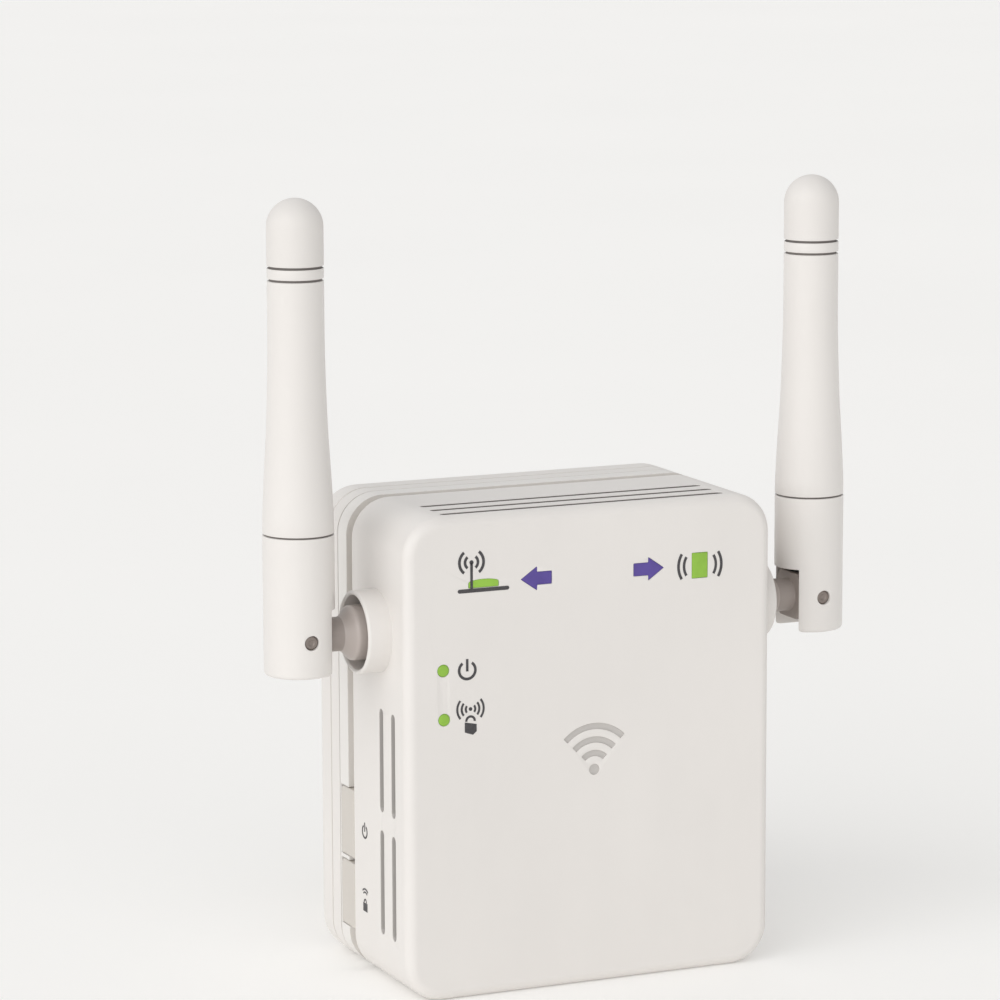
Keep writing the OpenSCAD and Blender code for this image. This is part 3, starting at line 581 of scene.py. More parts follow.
INSIDE = {
    "led_resin": plastic("led_resin", (240, 236, 208), rough=0.25, vary=0.04),
    "black_plastic": DARK,
    "switch_plastic": plastic("switch_plastic", (60, 60, 66), rough=0.5, vary=0.12),
    "green_board": board("green_board", (36, 92, 56)),
    "tan_board": board("tan_board", (183, 156, 88), (0.6, 0.6, 0.6)),
    "tinned_steel": metal("tinned_steel", (190, 191, 194), rough=0.35, stretch=(1, 1, 30)),
    "spring_steel": metal("spring_steel", (150, 148, 144), rough=0.3, stretch=(1, 1, 1)),
    "screw_steel": STEEL,
    "gold_contact": metal("gold_contact", (226, 178, 78), rough=0.22, stretch=(1, 1, 40)),
    "radiator_brass": metal("radiator_brass", (206, 166, 84), rough=0.3, stretch=(1, 1, 40)),
    "copper_wire": metal("copper_wire", (196, 122, 70), rough=0.35, stretch=(1, 40, 1), scale=500.0),
    "ferrite": plastic("ferrite", (58, 57, 62), rough=0.7, grain=0.2, depth=0.03, vary=0.2),
    "yellow_tape": plastic("yellow_tape", (222, 184, 62), rough=0.35, vary=0.08),
    "capacitor_sleeve": plastic("capacitor_sleeve", (36, 62, 98), rough=0.3, vary=0.1),
    "fuse_body": plastic("fuse_body", (206, 196, 170), rough=0.4, vary=0.08),
    "insulating_film": plastic("insulating_film", (232, 226, 202), rough=0.35, vary=0.05),
    "cable_jacket": plastic("cable_jacket", (72, 72, 78), rough=0.45, vary=0.1),
}

# ---- front cover -------------------------------------------------------------------------------

EDGE_R = 1.5
arc = [math.radians(90 * i / 10) for i in range(11)]
outer = [(EDGE_R * (1 - math.cos(a)), EDGE_R * (1 - math.sin(a))) for a in arc]


def collar_rod():
    rim = 0.45
    profile = [(0, 22.5), (COLLAR_R, 22.5), (COLLAR_R, COLLAR_X - rim)]
    profile += [
        (COLLAR_R - rim * (1 - math.cos(a)), COLLAR_X - rim * (1 - math.sin(a))) for a in arc[1::2]
    ]
    profile.append((0, COLLAR_X))
    return turned("collar", profile, (0, SWIVEL_Y, SWIVEL_Z), "x", 96)


def collar_bore():
    profile = [
        (0, 20), (3.0, 20), (3.0, 24), (5.1, 24), (5.1, COLLAR_X - 0.25),
        (5.35, COLLAR_X), (5.35, COLLAR_X + 2), (0, COLLAR_X + 2),
    ]
    return turned("bore", profile, (0, SWIVEL_Y, SWIVEL_Z), "x", 96)


def radial_bar(name, angle, half, r0, r1, x0, x1):
    points = []
    for r, a in ((r0, -half), (r1, -half), (r1, half), (r0, half)):
        t = math.radians(angle + a)
        points.append((SWIVEL_Y + r * math.cos(t), SWIVEL_Z + r * math.sin(t)))
    return loft(name, [[(x, y, z) for y, z in points] for x in (x0, x1)])


def both_sides(maker):
    ob = maker()
    return [ob, mirrored(ob, ob.name + "_twin")]


def side_slot(y, z0, z1, side):
    outline = [(v, u) for u, v in stadium((z1 - z0) / 2, 0.7)]
    mid = (z0 + z1) / 2
    return loft(
        "slot", [[(side * x, y + v, mid + u) for v, u in outline] for x in (HALF_W - 2.15, HALF_W + 1)]
    )


def top_slot(y):
    return loft(
        "slot", [[(u, y + v, z) for u, v in stadium(21.3, 0.6)] for z in (HALF_H - 2.15, HALF_H + 1)]
    )


# Indicators: outlines in x and z, at their places on the front face
DOT_R = 0.87


def dome():
    """A low box whose top bulges a little."""
    w, h = 2.25, 1.15
    xs = [w * math.cos(math.radians(15 * i)) for i in range(13)]
    return [(w, 0.0)] + [(x, h * (0.62 + 0.38 * math.sqrt(1 - (x / w) ** 2))) for x in xs] + [(-w, 0.0)]


def arrow(side):
    points = [(0, 0), (-2.4, 1.65), (-2.4, 0.9), (-4.65, 0.9), (-4.65, -0.9), (-2.4, -0.9), (-2.4, -1.65)]
    return [(side * x, z) for x, z in points]


def rect(w, h):
    return [(-w / 2, -h / 2), (w / 2, -h / 2), (w / 2, h / 2), (-w / 2, h / 2)]


LIGHTS = {
    "power_light": (circle(DOT_R, 40), (-22.1, 12.6), GREEN, "green_light"),
    "pairing_light": (circle(DOT_R, 40), (-22.0, 5.8), GREEN, "green_light"),
    "router_light": (dome(), (-16.1, 23.65), GREEN, "green_light"),
    "device_light": (rect(2.45, 3.6), (16.5, 24.15), GREEN, "green_light"),
    "left_arrow_light": (arrow(-1), (-10.6, 24.25), VIOLET, "violet_light"),
    "right_arrow_light": (arrow(1), (11.0, 24.25), VIOLET, "violet_light"),
}


def signal_mark():
    """A generic mark of a dot under three arcs, pressed into the front."""
    parts = [slab("dot", circle(0.75, 32), -1, 0.25, at=(0.4, -3.2))]
    for r in (2.3, 4.2, 6.1):
        points = [(r + 0.42, a) for a in range(45, 136, 5)] + [(r - 0.42, a) for a in range(135, 44, -5)]
        outline = [(q * math.cos(math.radians(a)), q * math.sin(math.radians(a))) for q, a in points]
        parts.append(slab("arc", outline, -1, 0.25, at=(0.4, -3.2)))
    return parts


def make_front_cover():
    ob = shell_skin("front_shell", outer + [(FRONT_D, 0)])
    hollow = [(2.0, WALL + 0.4), (2.4, WALL), (FRONT_D + 1, WALL)]
    combine(ob, [shell_skin("hollow", hollow)])
    added = both_sides(collar_rod)
    added += [slab("post", circle(2.5, 32), 1.8, FRONT_D, at=p) for p in POSTS]
    bosses = [(0, 29.4), (-20, -20), (20, -19)]
    added += [slab("boss", circle(1.7, 32), 1.8, 4.6, at=p) for p in bosses]
    combine(ob, added, "UNION")
    cutters = both_sides(collar_bore)
    cutters += [top_slot(y) for y in (2.75, 6.2, 9.65)]
    for side in (-1, 1):
        for y in (4.8, 9.0):
            cutters += [side_slot(y, -8.4, 6.1, side), side_slot(y, -25.7, -11.0, side)]
    cutters += [slab("pilot", circle(1.05, 24), 8, FRONT_D + 1, at=p) for p in POSTS]
    cutters += [slab("pilot", circle(0.82, 24), 2.8, 5.6, at=p) for p in bosses]
    for outline, at, _, _ in LIGHTS.values():
        cutters.append(slab("window", outline, -1, 3, at=at))
    cutters += signal_mark()
    cutters.append(cuboid("jack_mouth", (-8.2, 8.2), (5.5, 18.7), (-HALF_H - 1, -HALF_H + 3)))
    cutters.append(
        loft("reset_hole", [[(13.5 + u, 7.6 + v, z) for u, v in circle(1, 32)] for z in (-HALF_H - 1, -HALF_H + 3)])
    )
    combine(ob, cutters)
    ribs = []
    for angle in (238, 302):
        ribs += both_sides(lambda: radial_bar("rib", angle, 3, 4.0, 5.3, 25.6, 29.4))
    combine(ob, ribs, "UNION")
    dress(ob, "housing", ["front_cover"], SHELL, 0.09, 2)
    # Painted shade on the top vent slots' walls.
    paint(ob, DEEP_SHADE, lambda x, y, z: 2.1 < y < 10.3 and abs(x) < 21.4 and HALF_H - 1.75 < z < HALF_H - 0.06)
    # Painted shade on the side vent slots' walls and in the pressed-in mark's hollows.
    paint(ob, RECESS_SHADE, lambda x, y, z: 4.0 < y < 9.8 and -25.8 < z < 6.2 and HALF_W - 1.75 < abs(x) < HALF_W - 0.06)
    paint(ob, RECESS_SHADE, lambda x, y, z: 0.04 < y < 0.3 and abs(x) < 9 and -8 < z < 8)


make_front_cover()

# ---- middle frame ------------------------------------------------------------------------------


def make_mid_frame():
    tongue, inner = 1.9, 2.8
    profile = [
        (FRONT_D - 1.8, tongue), (FRONT_D, tongue), (FRONT_D, GROOVE_DEPTH), (GROOVE[1], GROOVE_DEPTH),
        (GROOVE[1], 0), (BAND_END, 0), (BAND_END, tongue), (BAND_END + 1.8, tongue),
        (BAND_END + 1.8, inner), (FRONT_D - 1.8, inner),
    ]
    ob = shell_skin("middle_frame", profile, cyclic=True)
    cutters = [
        cuboid("opening", (-HALF_W - 1, -HALF_W + 3.8), (FRONT_D - 0.01, 24.1), z)
        for z in ((-17.52, -7.58), (-27.62, -18.08))
    ]
    cutters.append(cuboid("jack_room", (-8.4, 8.4), (FRONT_D - 3, FRONT_D), (-HALF_H, -HALF_H + 4)))
    combine(ob, cutters)
    dress(ob, "housing", ["mid_frame"], FRAME, 0.09)

    def sunk(x, y, z):
        """The groove's floor and walls, and the step that the rear cover closes over."""
        deep = abs(x) < HALF_W - 0.06 and abs(z) < HALF_H - 0.06
        return deep and (y < GROOVE[1] + 0.02 or y > BAND_END - 0.02)

    # Painted shade on the groove's floor and walls and on the step.
    paint(ob, GROOVE_SHADE, sunk)


make_mid_frame()

# ---- rear cover and plug -----------------------------------------------------------------------

SEAM_Y = 27.7
REAR_R, REAR_INSET = 3.6, 3.0


def boss_outline(grow=0.0, r=18.4, flat=16.9, keyed=True):
    """The plug's outline: flats above and below and a keyway at each side."""
    r, flat = r + grow, flat + grow
    half, floor = 2.7 - grow, r - 2.0
    top = math.degrees(math.asin(flat / r))
    low = math.degrees(math.asin(half / r)) if keyed else 0.0
    quarter = [(floor, half)] if keyed else []
    for i in range(17):
        a = math.radians(low + (top - low) * i / 16)
        quarter.append((r * math.cos(a), r * math.sin(a)))
    quarter.append((0, flat))
    right = [(x, -z) for x, z in reversed(quarter)] + (quarter if keyed else quarter[1:])
    return right + [(-x, z) for x, z in reversed(right[1:-1])]


def make_rear_cover():
    profile = [
        (REAR_Y, 0), (SEAM_Y - 0.2, 0), (SEAM_Y - 0.1, 0.35), (SEAM_Y + 0.1, 0.35), (SEAM_Y + 0.2, 0)
    ]
    profile += [
        (BODY_D - REAR_R * (1 - math.sin(a)), REAR_INSET * (1 - math.cos(a))) for a in arc
    ]
    ob = shell_skin("rear_shell", profile)
    hollow = [(REAR_Y - 1, WALL), (30.2, WALL), (32.2, WALL + 1.6)]
    combine(ob, [shell_skin("hollow", hollow)])
    added = [slab("post", circle(2.5, 32), FRONT_D + 0.2, 32.4, at=p) for p in POSTS]
    combine(ob, added, "UNION")
    added = [slab("post", circle(3.0, 32), 26.5, 32.4, at=p) for p in POSTS]
    combine(ob, added, "UNION")
    cutters = [slab("boss_hole", boss_outline(0.05), 31, 36, at=(0, PLUG_Z))]
    cutters += [slab("bore", circle(1.25, 32), FRONT_D, 29, at=p) for p in POSTS]
    cutters += [slab("counterbore", circle(2.15, 48), 28, 36, at=p) for p in POSTS]
    combine(ob, cutters)
    dress(ob, "housing", ["rear_cover"], SHELL, 0.09, 2)
    # Painted shade on the lip under the band and in the V seam.
    paint(ob, GROOVE_SHADE, lambda x, y, z: y < REAR_Y + 0.03 or (
        abs(y - SEAM_Y) < 0.2 and HALF_W - 1 < abs(x) < HALF_W - 0.05
    ) or (abs(y - SEAM_Y) < 0.2 and HALF_H - 1 < abs(z) < HALF_H - 0.05))


def make_plug_boss():
    ends = [(32.1, 0)]
    ends += [(BOSS_END - 0.7 * (1 - math.sin(a)), 0.7 * (1 - math.cos(a))) for a in arc[::2]]
    sections = []
    for y, inset in ends:
        k = 1 - inset / 18.4
        sections.append([(x * k, y, PLUG_Z + z * k) for x, z in boss_outline()])
    ob = loft("plug_moulding", sections)
    flange = slab("flange", boss_outline(1.2, flat=15.4, keyed=False), 30.9, 32.2, at=(0, PLUG_Z))
    combine(ob, [flange], "UNION")
    cutters = [
        slab("bore", circle(13.2, 96), 29, BOSS_END - 4.1, at=(0, PLUG_Z)),
        slab("recess", circle(14.65, 96), BOSS_END - 4.2, BOSS_END + 1, at=(0, PLUG_Z)),
    ]
    combine(ob, cutters)
    return dress(ob, "housing", ["plug_boss"], SHELL, 0.15, 2)


def make_pin_carrier():
    top, r = BOSS_END, 14.6
    profile = [
        (0, top - 4.2), (r, top - 4.2), (r, top - 0.35), (r - 0.1, top - 0.1), (r - 0.35, top),
        (13.3, top), (13.15, top - 0.25), (12.9, top - 0.25), (12.75, top), (0, top),
    ]
    ob = turned("pin_holder", profile, (0, 0, PLUG_Z), "y", 96)
    spots = [(s * 9.5, PLUG_Z) for s in (-1, 1)]
    combine(ob, [slab("collar", circle(3.6, 40), top - 7.2, top - 4.1, at=p) for p in spots], "UNION")
    cutters = [slab("hole", circle(2.22, 40), top - 9, top + 1, at=p) for p in spots]
    cutters += [slab("seat", circle(2.44, 40), top - 0.3, top + 1, at=p) for p in spots]
    combine(ob, cutters)
    return dress(ob, "housing", ["pin_carrier"], CARRIER, 0.12, 2)


def make_pins():
    lo, hi = housing_box("right_mains_pin")
    r, shank, tail = 2.4, 2.2, 0.8
    end = hi.y - r
    profile = [
        (0, lo.y), (tail - 0.2, lo.y), (tail, lo.y + 0.3), (tail, BOSS_END - 7.2), (shank, BOSS_END - 7.2),
        (shank, BOSS_END), (r, BOSS_END),
    ]
    profile += [(r, BOSS_END + 0.5 + (end - BOSS_END - 0.5) * i / 6) for i in range(7)]
    profile += [(r * math.cos(a), end + r * math.sin(a)) for a in arc[1:-1]] + [(0, hi.y)]
    right = turned("right_pin_metal", profile, (9.5, 0, PLUG_Z), "y", 64)
    left = mirrored(right, "left_pin_metal")
    for side, ob in (("right", right), ("left", left)):
        dress(ob, "housing", [side + "_mains_pin"], PIN_METAL, 0.08, 2)


make_rear_cover()
make_plug_boss()
make_pin_carrier()
make_pins()

# ---- side buttons ------------------------------------------------------------------------------


def side_button(name, node, body, z, flange_z, twin_below):
    """A cap with soft rear corners that fills the groove and the band, on a retaining flange."""
    y0, y1, r = FRONT_D + 0.12, 24.0, 0.9
    outline = [(y0, z[0]), (y0, z[1])]
    for i in range(7):
        a = math.radians(90 * i / 6)
        outline.append((y1 - r + r * math.sin(a), z[1] - r + r * math.cos(a)))
    outline += [(y1, z[0])]
    cap = loft(name, [[(x, y, v) for y, v in outline] for x in (-HALF_W, -24.6)])
    crown = loft(
        "crown",
        [[(-HALF_W - 0.5, y, v) for y, v in ((y0 - 1, z[0] - 1), (y0 - 1, z[1] + 1), (y0 + 0.25, z[1] + 1), (y0 + 0.25, z[0] - 1))],
         [(-HALF_W + 0.2, y, v) for y, v in ((y0 - 1, z[0] - 1), (y0 - 1, z[1] + 1), (y0 + 0.01, z[1] + 1), (y0 + 0.01, z[0] - 1))]],
    )
    combine(cap, [crown])
    flange = cuboid("flange", (-24.7, -23.7), (GROOVE[0] - 0.6, 24.7), flange_z)
    combine(cap, [flange], "UNION")
    return dress(cap, body, [node], BUTTON, 0.14, 3)


side_button("power_cap", "power_button", "power_key", (-17.4, -7.7), (-17.7, -7.4), False)
side_button("pairing_cap", "pairing_button", "pairing_key", (-27.5, -18.2), (-25.4, -17.9), True)

# ---- antennas ----------------------------------------------------------------------------------


def antenna_pair(right, left_name, part, material, width, segments=2):
    left = mirrored(right, left_name)
    names = {"swivel": "swivel_body", "hinge_pin": "antenna", "antenna_base": "antenna", "antenna_blade": "antenna"}
    for side, ob in (("right", right), ("left", left)):
        dress(ob, side + "_" + names[part], [side + "_" + part], material, width, segments)
    return right, left


def make_swivel():
    washer_x = 24 - 1.5 - 0.4
    clip_x = washer_x - 0.6
    start = clip_x - 0.9
    profile = [
        (0, start), (2.4, start), (2.95, start + 0.4), (2.95, clip_x), (2.4, clip_x), (2.4, washer_x),
        (2.95, washer_x), (2.95, 24.1), (4.9, 24.1), (4.9, 25.3), (3.8, 25.3), (3.8, 31.3),
        (3.75, 31.6), (3.6, 31.85), (3.3, 32.1), (2.85, 32.5), (2.5, 32.9), (2.38, 33.15),
        (2.35, 33.4), (2.35, ANTENNA_X - 2), (0, ANTENNA_X - 2),
    ]
    ob = turned("right_swivel_moulding", profile, (0, SWIVEL_Y, SWIVEL_Z), "x", 64)
    half, r, c = 3.35, 3.3, 0.95
    knuckle = turned(
        "knuckle", [(0, -half), (r - c, -half), (r, c - half), (r, half - c), (r - c, half), (0, half)],
        (ANTENNA_X, SWIVEL_Y, SWIVEL_Z), "y", 64,
    )
    octagon = [(half, c - r), (half, r - c), (half - c, r), (c - half, r)]
    octagon += [(-y, -z) for y, z in octagon]
    block = loft(
        "block", [[(x, SWIVEL_Y + y, SWIVEL_Z + z) for y, z in octagon] for x in (ANTENNA_X - r, ANTENNA_X)]
    )
    combine(ob, [knuckle, block, radial_bar("tab", 45, 8.44, 3.0, 4.4, 25.2, 29)], "UNION")
    centre = (ANTENNA_X, SWIVEL_Y, SWIVEL_Z)
    cutters = [
        turned("pin_hole", [(0, -5), (1.05, -5), (1.05, 5), (0, 5)], centre, "y", 40),
        turned("way", [(0, start - 1 - ANTENNA_X), (0.8, start - 1 - ANTENNA_X), (0.8, -1.95), (0, -1.95)], centre, "x", 24),
        turned("way", [(0, -1.1), (0.9, -1.1), (0.9, 5), (0, 5)], (ANTENNA_X - 1.95, SWIVEL_Y, SWIVEL_Z), "z", 24),
    ]
    combine(ob, cutters)
    pair = antenna_pair(ob, "left_swivel_moulding", "swivel", SWIVEL, 0.15, 3)
    # Painted shadow on the knuckle and the shaft beside the antenna.
    for piece in pair:
        paint(piece, KNUCKLE_SHADOW, lambda x, y, z: abs(x) > 33.2)
    return pair


def make_antenna_base():
    foot = 0.5
    profile = [(0, BASE_Z)]
    profile += [
        (BASE_R - foot * (1 - math.sin(a)), BASE_Z + foot * (1 - math.cos(a))) for a in arc[::2]
    ]
    profile += [(BASE_R, SWIVEL_Z + h) for h in (-1.9, -1.4, 1.4, 1.9, 3.2, 4.6, 6.5, 10)]
    profile += [(BASE_R, BLADE_Z), (3.85, BLADE_Z), (3.85, BLADE_Z + 3), (0, BLADE_Z + 3)]
    ob = turned("right_base_moulding", profile, (ANTENNA_X, SWIVEL_Y, 0), "z", 128)
    x0 = ANTENNA_X - BASE_R
    walls = [(x0 - 1, -3.5), (ANTENNA_X + 2.6, -3.5), (ANTENNA_X + 3.5, -2.5)]
    walls += [(x, -y) for x, y in reversed(walls)]
    slot = loft("slot", [[(x, SWIVEL_Y + y, z) for x, y in walls] for z in (BASE_Z - 1, SWIVEL_Z + 4)])
    r = 2.2
    corner = [(x0 - 1, BASE_Z - 1), (x0 + r, BASE_Z - 1)]
    corner += [(x0 + r - r * math.sin(a), BASE_Z + r - r * math.cos(a)) for a in arc]
    corner += [(x0 - 1, BASE_Z + r)]
    cutters = [
        slot,
        turned("bore", [(0, SWIVEL_Z + 3), (2.9, SWIVEL_Z + 3), (2.9, BLADE_Z + 5), (0, BLADE_Z + 5)],
               (ANTENNA_X, SWIVEL_Y, 0), "z", 48),
        slab("corner", corner, SWIVEL_Y - 7, SWIVEL_Y + 7),
        turned("pin_hole", [(0, -7), (1.02, -7), (1.02, 7), (0, 7)], (ANTENNA_X, SWIVEL_Y, SWIVEL_Z), "y", 48),
    ]
    combine(ob, cutters, flat=0)
    return antenna_pair(ob, "left_base_moulding", "antenna_base", ANTENNA, 0.07)


def make_blade():
    taper = [(0.25, 1), (2.3, 0.96), (5, 0.85), (8, 0.7), (10.8, 0.53), (13.6, 0.36), (16.4, 0.24),
             (19.3, 0.15), (24, 0.03), (28, 0)]
    outside = [(TIP_R + (BASE_R - TIP_R) * k, BLADE_Z + h) for h, k in taper]
    for drop in (10.9, 9.2):
        z = TIP_Z - drop
        outside += [(TIP_R, z - 0.26), (TIP_R - 0.03, z - 0.16), (TIP_R - 0.3, z - 0.15), (TIP_R - 0.3, z + 0.15),
                    (TIP_R - 0.03, z + 0.16), (TIP_R, z + 0.26)]
    outside += [
        (TIP_R * math.cos(math.radians(5 * i)), TIP_Z - TIP_R + TIP_R * math.sin(math.radians(5 * i)))
        for i in range(18)
    ]
    inside = [
        (0, TIP_Z - TIP_R + 1.2), (TIP_R - 0.95, TIP_Z - TIP_R - 0.6), (TIP_R - 0.95, BLADE_Z + 24),
        (3.3, BLADE_Z + 10), (3.87, BLADE_Z + 3.2), (3.87, BLADE_Z),
    ]
    gap = [(BASE_R - 0.3, BLADE_Z + 0.25), (BASE_R - 0.3, BLADE_Z)]
    profile = [(0, TIP_Z)] + outside[::-1] + gap + inside[::-1]
    ob = turned("right_blade_moulding", profile, (ANTENNA_X, SWIVEL_Y, 0), "z", 128)
    right, left = antenna_pair(ob, "left_blade_moulding", "antenna_blade", ANTENNA, 0.06)

    def in_groove(x, y, z):
        radius = math.hypot(abs(x) - ANTENNA_X, y - SWIVEL_Y)
        ring = any(abs(z - TIP_Z + drop) < 0.155 for drop in (9.2, 10.9)) and radius < TIP_R - 0.05
        return ring or (z < BLADE_Z + 0.26 and radius < BASE_R - 0.05)

    # The tip keeps a plastic of its own; the ring grooves and the gap above the base get painted shade.
    for piece in (right, left):
        paint(piece, ANTENNA_TIP, lambda x, y, z: z > TIP_Z - 9.2)
        paint(piece, DEEP_SHADE, in_groove)


def make_hinge_pin():
    half = (housing_box("right_hinge_pin")[1].y - housing_box("right_hinge_pin")[0].y) / 2
    r = 1.0
    profile = [(0, -half + 0.08), (0.35, -half + 0.08), (0.45, -half), (r - 0.18, -half), (r, -half + 0.18)]
    profile += [(q, -t) for q, t in reversed(profile)]
    ob = turned("right_pin_rod", profile, (ANTENNA_X, SWIVEL_Y, SWIVEL_Z), "y", 48)
    return antenna_pair(ob, "left_pin_rod", "hinge_pin", PIN_GREY, 0.04)


make_swivel()
make_antenna_base()
make_blade()
make_hinge_pin()

# ---- indicators and printing -------------------------------------------------------------------


def make_lights():
    for node, (outline, at, material, slot) in LIGHTS.items():
        # A hair smaller than its window, with a lightly crowned face
        centre_x = sum(x for x, _ in outline) / len(outline)
        centre_z = sum(z for _, z in outline) / len(outline)
        reach = max(math.hypot(x - centre_x, z - centre_z) for x, z in outline)
        rings = []
        for y, inset in ((3.6, 0.03), (0.12, 0.03), (0.03, 0.09), (0.0, 0.2)):
            k = 1 - inset / reach
            rings.append([
                (at[0] + centre_x + (x - centre_x) * k, y, at[1] + centre_z + (z - centre_z) * k)
                for x, z in outline
            ])
        ob = loft(node + "_lens", rings)
        dress(ob, "housing", [node], material, 0.03, 1)


INK_TOP, INK_SUNK = -0.035, 0.02


def printed(outline, at=(0, 0)):
    return slab("mark", outline, INK_TOP, INK_SUNK, at=at)


def band_arc(r, half_w, a0, a1, at, steps=16):
    angles = [math.radians(a0 + (a1 - a0) * i / steps) for i in range(steps + 1)]
    points = [((r + half_w) * math.cos(a), (r + half_w) * math.sin(a)) for a in angles]
    points += [((r - half_w) * math.cos(a), (r - half_w) * math.sin(a)) for a in reversed(angles)]
    return printed(points, at)


def bar(x0, z0, x1, z1, w):
    d = Vector((x1 - x0, z1 - z0)).normalized() * w / 2
    return printed([(x0 - d.y, z0 + d.x), (x0 + d.y, z0 - d.x), (x1 + d.y, z1 - d.x), (x1 - d.y, z1 + d.x)])


def capsule(x0, x1, z, r):
    return printed([(x, v) for x, v in stadium((x1 - x0) / 2, r, 8)], ((x0 + x1) / 2, z))


def front_marks():
    # A router with its aerial, a hand-held device, the power sign, and a padlock under radio arcs
    parts = [capsule(-19.95, -12.35, 23.32, 0.27)]
    parts.append(bar(-17.9, 23.55, -17.9, 27.1, 0.38))
    parts.append(printed(circle(0.3, 20), (-17.9, 27.2)))
    for r, half in ((0.95, 0.19), (1.78, 0.2)):
        for a in (0, 180):
            parts.append(band_arc(r, half, a - 52, a + 52, (-17.9, 27.2)))
    for r, half in ((2.45, 0.19), (3.3, 0.2)):
        for a in (0, 180):
            parts.append(band_arc(r, half, a - 32, a + 32, (16.5, 24.15)))
    parts.append(band_arc(1.2, 0.19, 125, 415, (-18.6, 12.4), 40))
    parts.append(bar(-18.6, 12.25, -18.6, 13.95, 0.36))
    x, z = -18.15, 4.35
    parts.append(printed([(-0.85, -0.55), (0.35, -0.95), (0.9, -0.5), (0.9, 0.5), (-0.85, 0.85)], (x, z)))
    parts.append(band_arc(0.62, 0.16, -5, 185, (x, z + 1.0)))
    for r in (0.7, 1.3, 1.95):
        for a in (0, 180):
            parts.append(band_arc(r, 0.15, a - 40, a + 40, (-18.15, 7.0)))
    parts.append(printed(circle(0.26, 16), (-18.15, 7.0)))
    dress(join("front_printing", parts), "housing", [], INK, 0)


def side_marks():
    """Generic icons beside the side buttons: a power ring and a padlock with arcs."""
    parts = []
    ring = [(1.0, a) for a in range(120, 421, 12)] + [(0.72, a) for a in range(420, 119, -12)]
    parts.append([(q * math.cos(math.radians(a)), -12.6 + q * math.sin(math.radians(a))) for q, a in ring])
    parts.append([(-0.14, -12.6), (0.14, -12.6), (0.14, -11.3), (-0.14, -11.3)])
    parts.append([(-0.75, -24.0), (0.75, -24.0), (0.75, -22.8), (-0.75, -22.8)])
    for r0, r1, a0, a1, z in ((0.55, 0.33, 0, 180, -22.75), (1.15, 0.93, 50, 130, -22.3), (1.6, 1.38, 50, 130, -22.3)):
        arc_points = [(r0, a) for a in range(a0, a1 + 1, 10)] + [(r1, a) for a in range(a1, a0 - 1, -10)]
        parts.append([(q * math.cos(math.radians(a)), z + q * math.sin(math.radians(a))) for q, a in arc_points])
    # Seen on the left side, the front of the housing is to the right
    solids = [
        loft("mark", [[(x, 15.3 - u, v) for u, v in outline] for x in (-HALF_W - 0.035, -HALF_W + 0.02)])
        for outline in parts
    ]
    dress(join("side_printing", solids), "housing", [], INK, 0)


make_lights()
front_marks()
side_marks()

# ---- pieces inside the housing -----------------------------------------------------------------


def refined(node, body, slot, width):
    """The CAD piece with welded faces and softened edges."""
    source = frame["nodes"][node]
    ob = bpy.data.objects.new(node + "_piece", source.data.copy())
    scene.collection.objects.link(ob)
    ob.data.materials.clear()
    bm = bmesh.new()
    bm.from_mesh(ob.data)
    bmesh.ops.remove_doubles(bm, verts=bm.verts, dist=2e-6)
    bm.to_mesh(ob.data)
    bm.free()
    clean(ob, 2e-6, 0.2)
    dress(ob, body, [node], INSIDE[slot], width, 2, 40)


BODIES = {}
for body_name, members in frame["record"]["behaviour"]["bodies"].items():
    for member in members:
        BODIES[member] = body_name
SLOTS = {entry["node"]: entry["material_slot"] for entry in frame["record"]["subparts"]}

FINE = {
    "case_screws": 0.1, "board_screws": 0.08, "ethernet_jack": 0.15, "rf_shield": 0.06,
    "system_chip": 0.08, "memory_chip": 0.08, "transformer_core": 0.3, "transformer_coil": 0.25,
    "bulk_capacitors": 0.35, "output_capacitors": 0.3, "mains_choke": 0.2, "mains_fuse": 0.2,
    "power_switch": 0.2, "pairing_switch": 0.2, "reset_switch": 0.15, "reset_button": 0.12,
    "main_board": 0.05, "power_board": 0.05, "button_board": 0.05, "light_baffle": 0.08,
}
for node, ob in frame["nodes"].items():
    slot_name = SLOTS.get(node)
    if node in FINE and slot_name in INSIDE:
        refined(node, BODIES[node], slot_name, FINE[node])
    elif slot_name in INSIDE:
        ob.data.materials.clear()
        ob.data.materials.append(INSIDE[slot_name])

# ---- floor, light and camera -------------------------------------------------------------------

floor_z = (cad_box[0][2] - ORIGIN.z) / MM


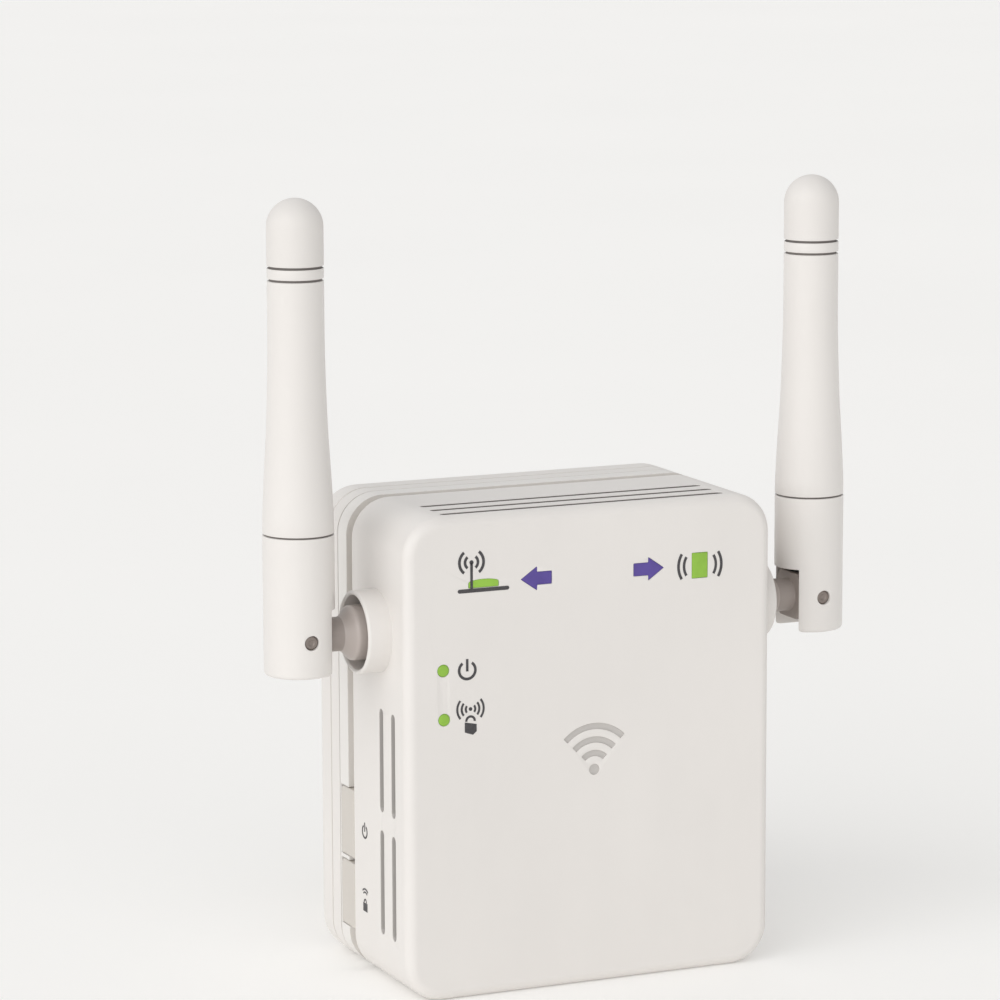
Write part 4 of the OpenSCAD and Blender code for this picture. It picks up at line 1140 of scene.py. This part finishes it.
def make_floor():
    """A plain pale floor, much wider than the view."""
    profile = [(0, floor_z), (100, floor_z), (1000, floor_z), (5000, floor_z), (20000, floor_z)]
    ob = turned("floor", profile, (0, 25, 0), "z", 96)
    if ob.data.polygons[0].normal.z < 0:
        ob.data.flip_normals()
    n = Nodes("floor_paper")
    paper = srgb(248, 247, 245)
    n.link(n.mix(n.spread(n.noise(6.0, 4.0), 0.0, 1.0), shade(paper, 0.985), paper), n.shader.inputs["Base Color"])
    n.link(n.spread(n.noise(400.0, 3.0), 0.75, 0.9), n.shader.inputs["Roughness"])
    n.link(n.bump(n.noise(900.0, 2.0), 0.1, 0.02), n.shader.inputs["Normal"])
    n.shader.inputs["Specular IOR Level"].default_value = 0.2
    n.shader.inputs["Emission Color"].default_value = paper
    n.shader.inputs["Emission Strength"].default_value = 0.13
    ob.data.materials.append(n.material)


def soft_light(name, azimuth, elevation, spread, strength, colour=(1, 1, 1)):
    """A wide soft light far away; azimuth 0 is in front of the object, negative to its left."""
    a, e = math.radians(azimuth), math.radians(elevation)
    away = Vector((math.sin(a) * math.cos(e), -math.cos(a) * math.cos(e), math.sin(e)))
    data = bpy.data.lights.new(name, "SUN")
    data.angle, data.energy, data.color = math.radians(spread), strength, colour
    ob = bpy.data.objects.new(name, data)
    ob.rotation_euler = away.to_track_quat("Z", "Y").to_euler()
    scene.collection.objects.link(ob)


make_floor()
soft_light("key", -62, 21, 70, 1.5)
soft_light("front_fill", -5, 15, 60, 0.35)
soft_light("back_fill", 170, 40, 60, 0.3)

world = bpy.data.worlds.new("studio")
world.use_nodes = True
world.node_tree.nodes["Background"].inputs[0].default_value = (1, 1, 1, 1)
world.node_tree.nodes["Background"].inputs[1].default_value = 0.55
scene.world = world

scene.view_settings.view_transform = "Standard"
scene.view_settings.look = "None"
scene.view_settings.exposure = 0.0
scene.view_settings.gamma = 1.0


def make_camera():
    """The photograph's camera: in front, to the left and a little above."""
    back = Vector((-0.3974, -0.9025, 0.1663)).normalized()
    right = Vector((0.9152, -0.4030, 0)).normalized()
    up = back.cross(right).normalized()
    right = up.cross(back)
    place = from_housing(0, 0, 0) + (588.4 * back - 12.50 * right + 34.03 * up) * MM
    roll = math.radians(-0.204)
    across = right * math.cos(roll) + up * math.sin(roll)
    upward = up * math.cos(roll) - right * math.sin(roll)
    data = bpy.data.cameras.new("camera")
    data.lens, data.sensor_width, data.sensor_fit = 153.9, 36.0, "HORIZONTAL"
    data.clip_start, data.clip_end = 0.01, 20.0
    ob = bpy.data.objects.new("camera", data)
    turn = Matrix((across, upward, back)).transposed().to_4x4()
    ob.matrix_world = Matrix.Translation(place) @ turn
    scene.collection.objects.link(ob)
    scene.camera = ob


make_camera()
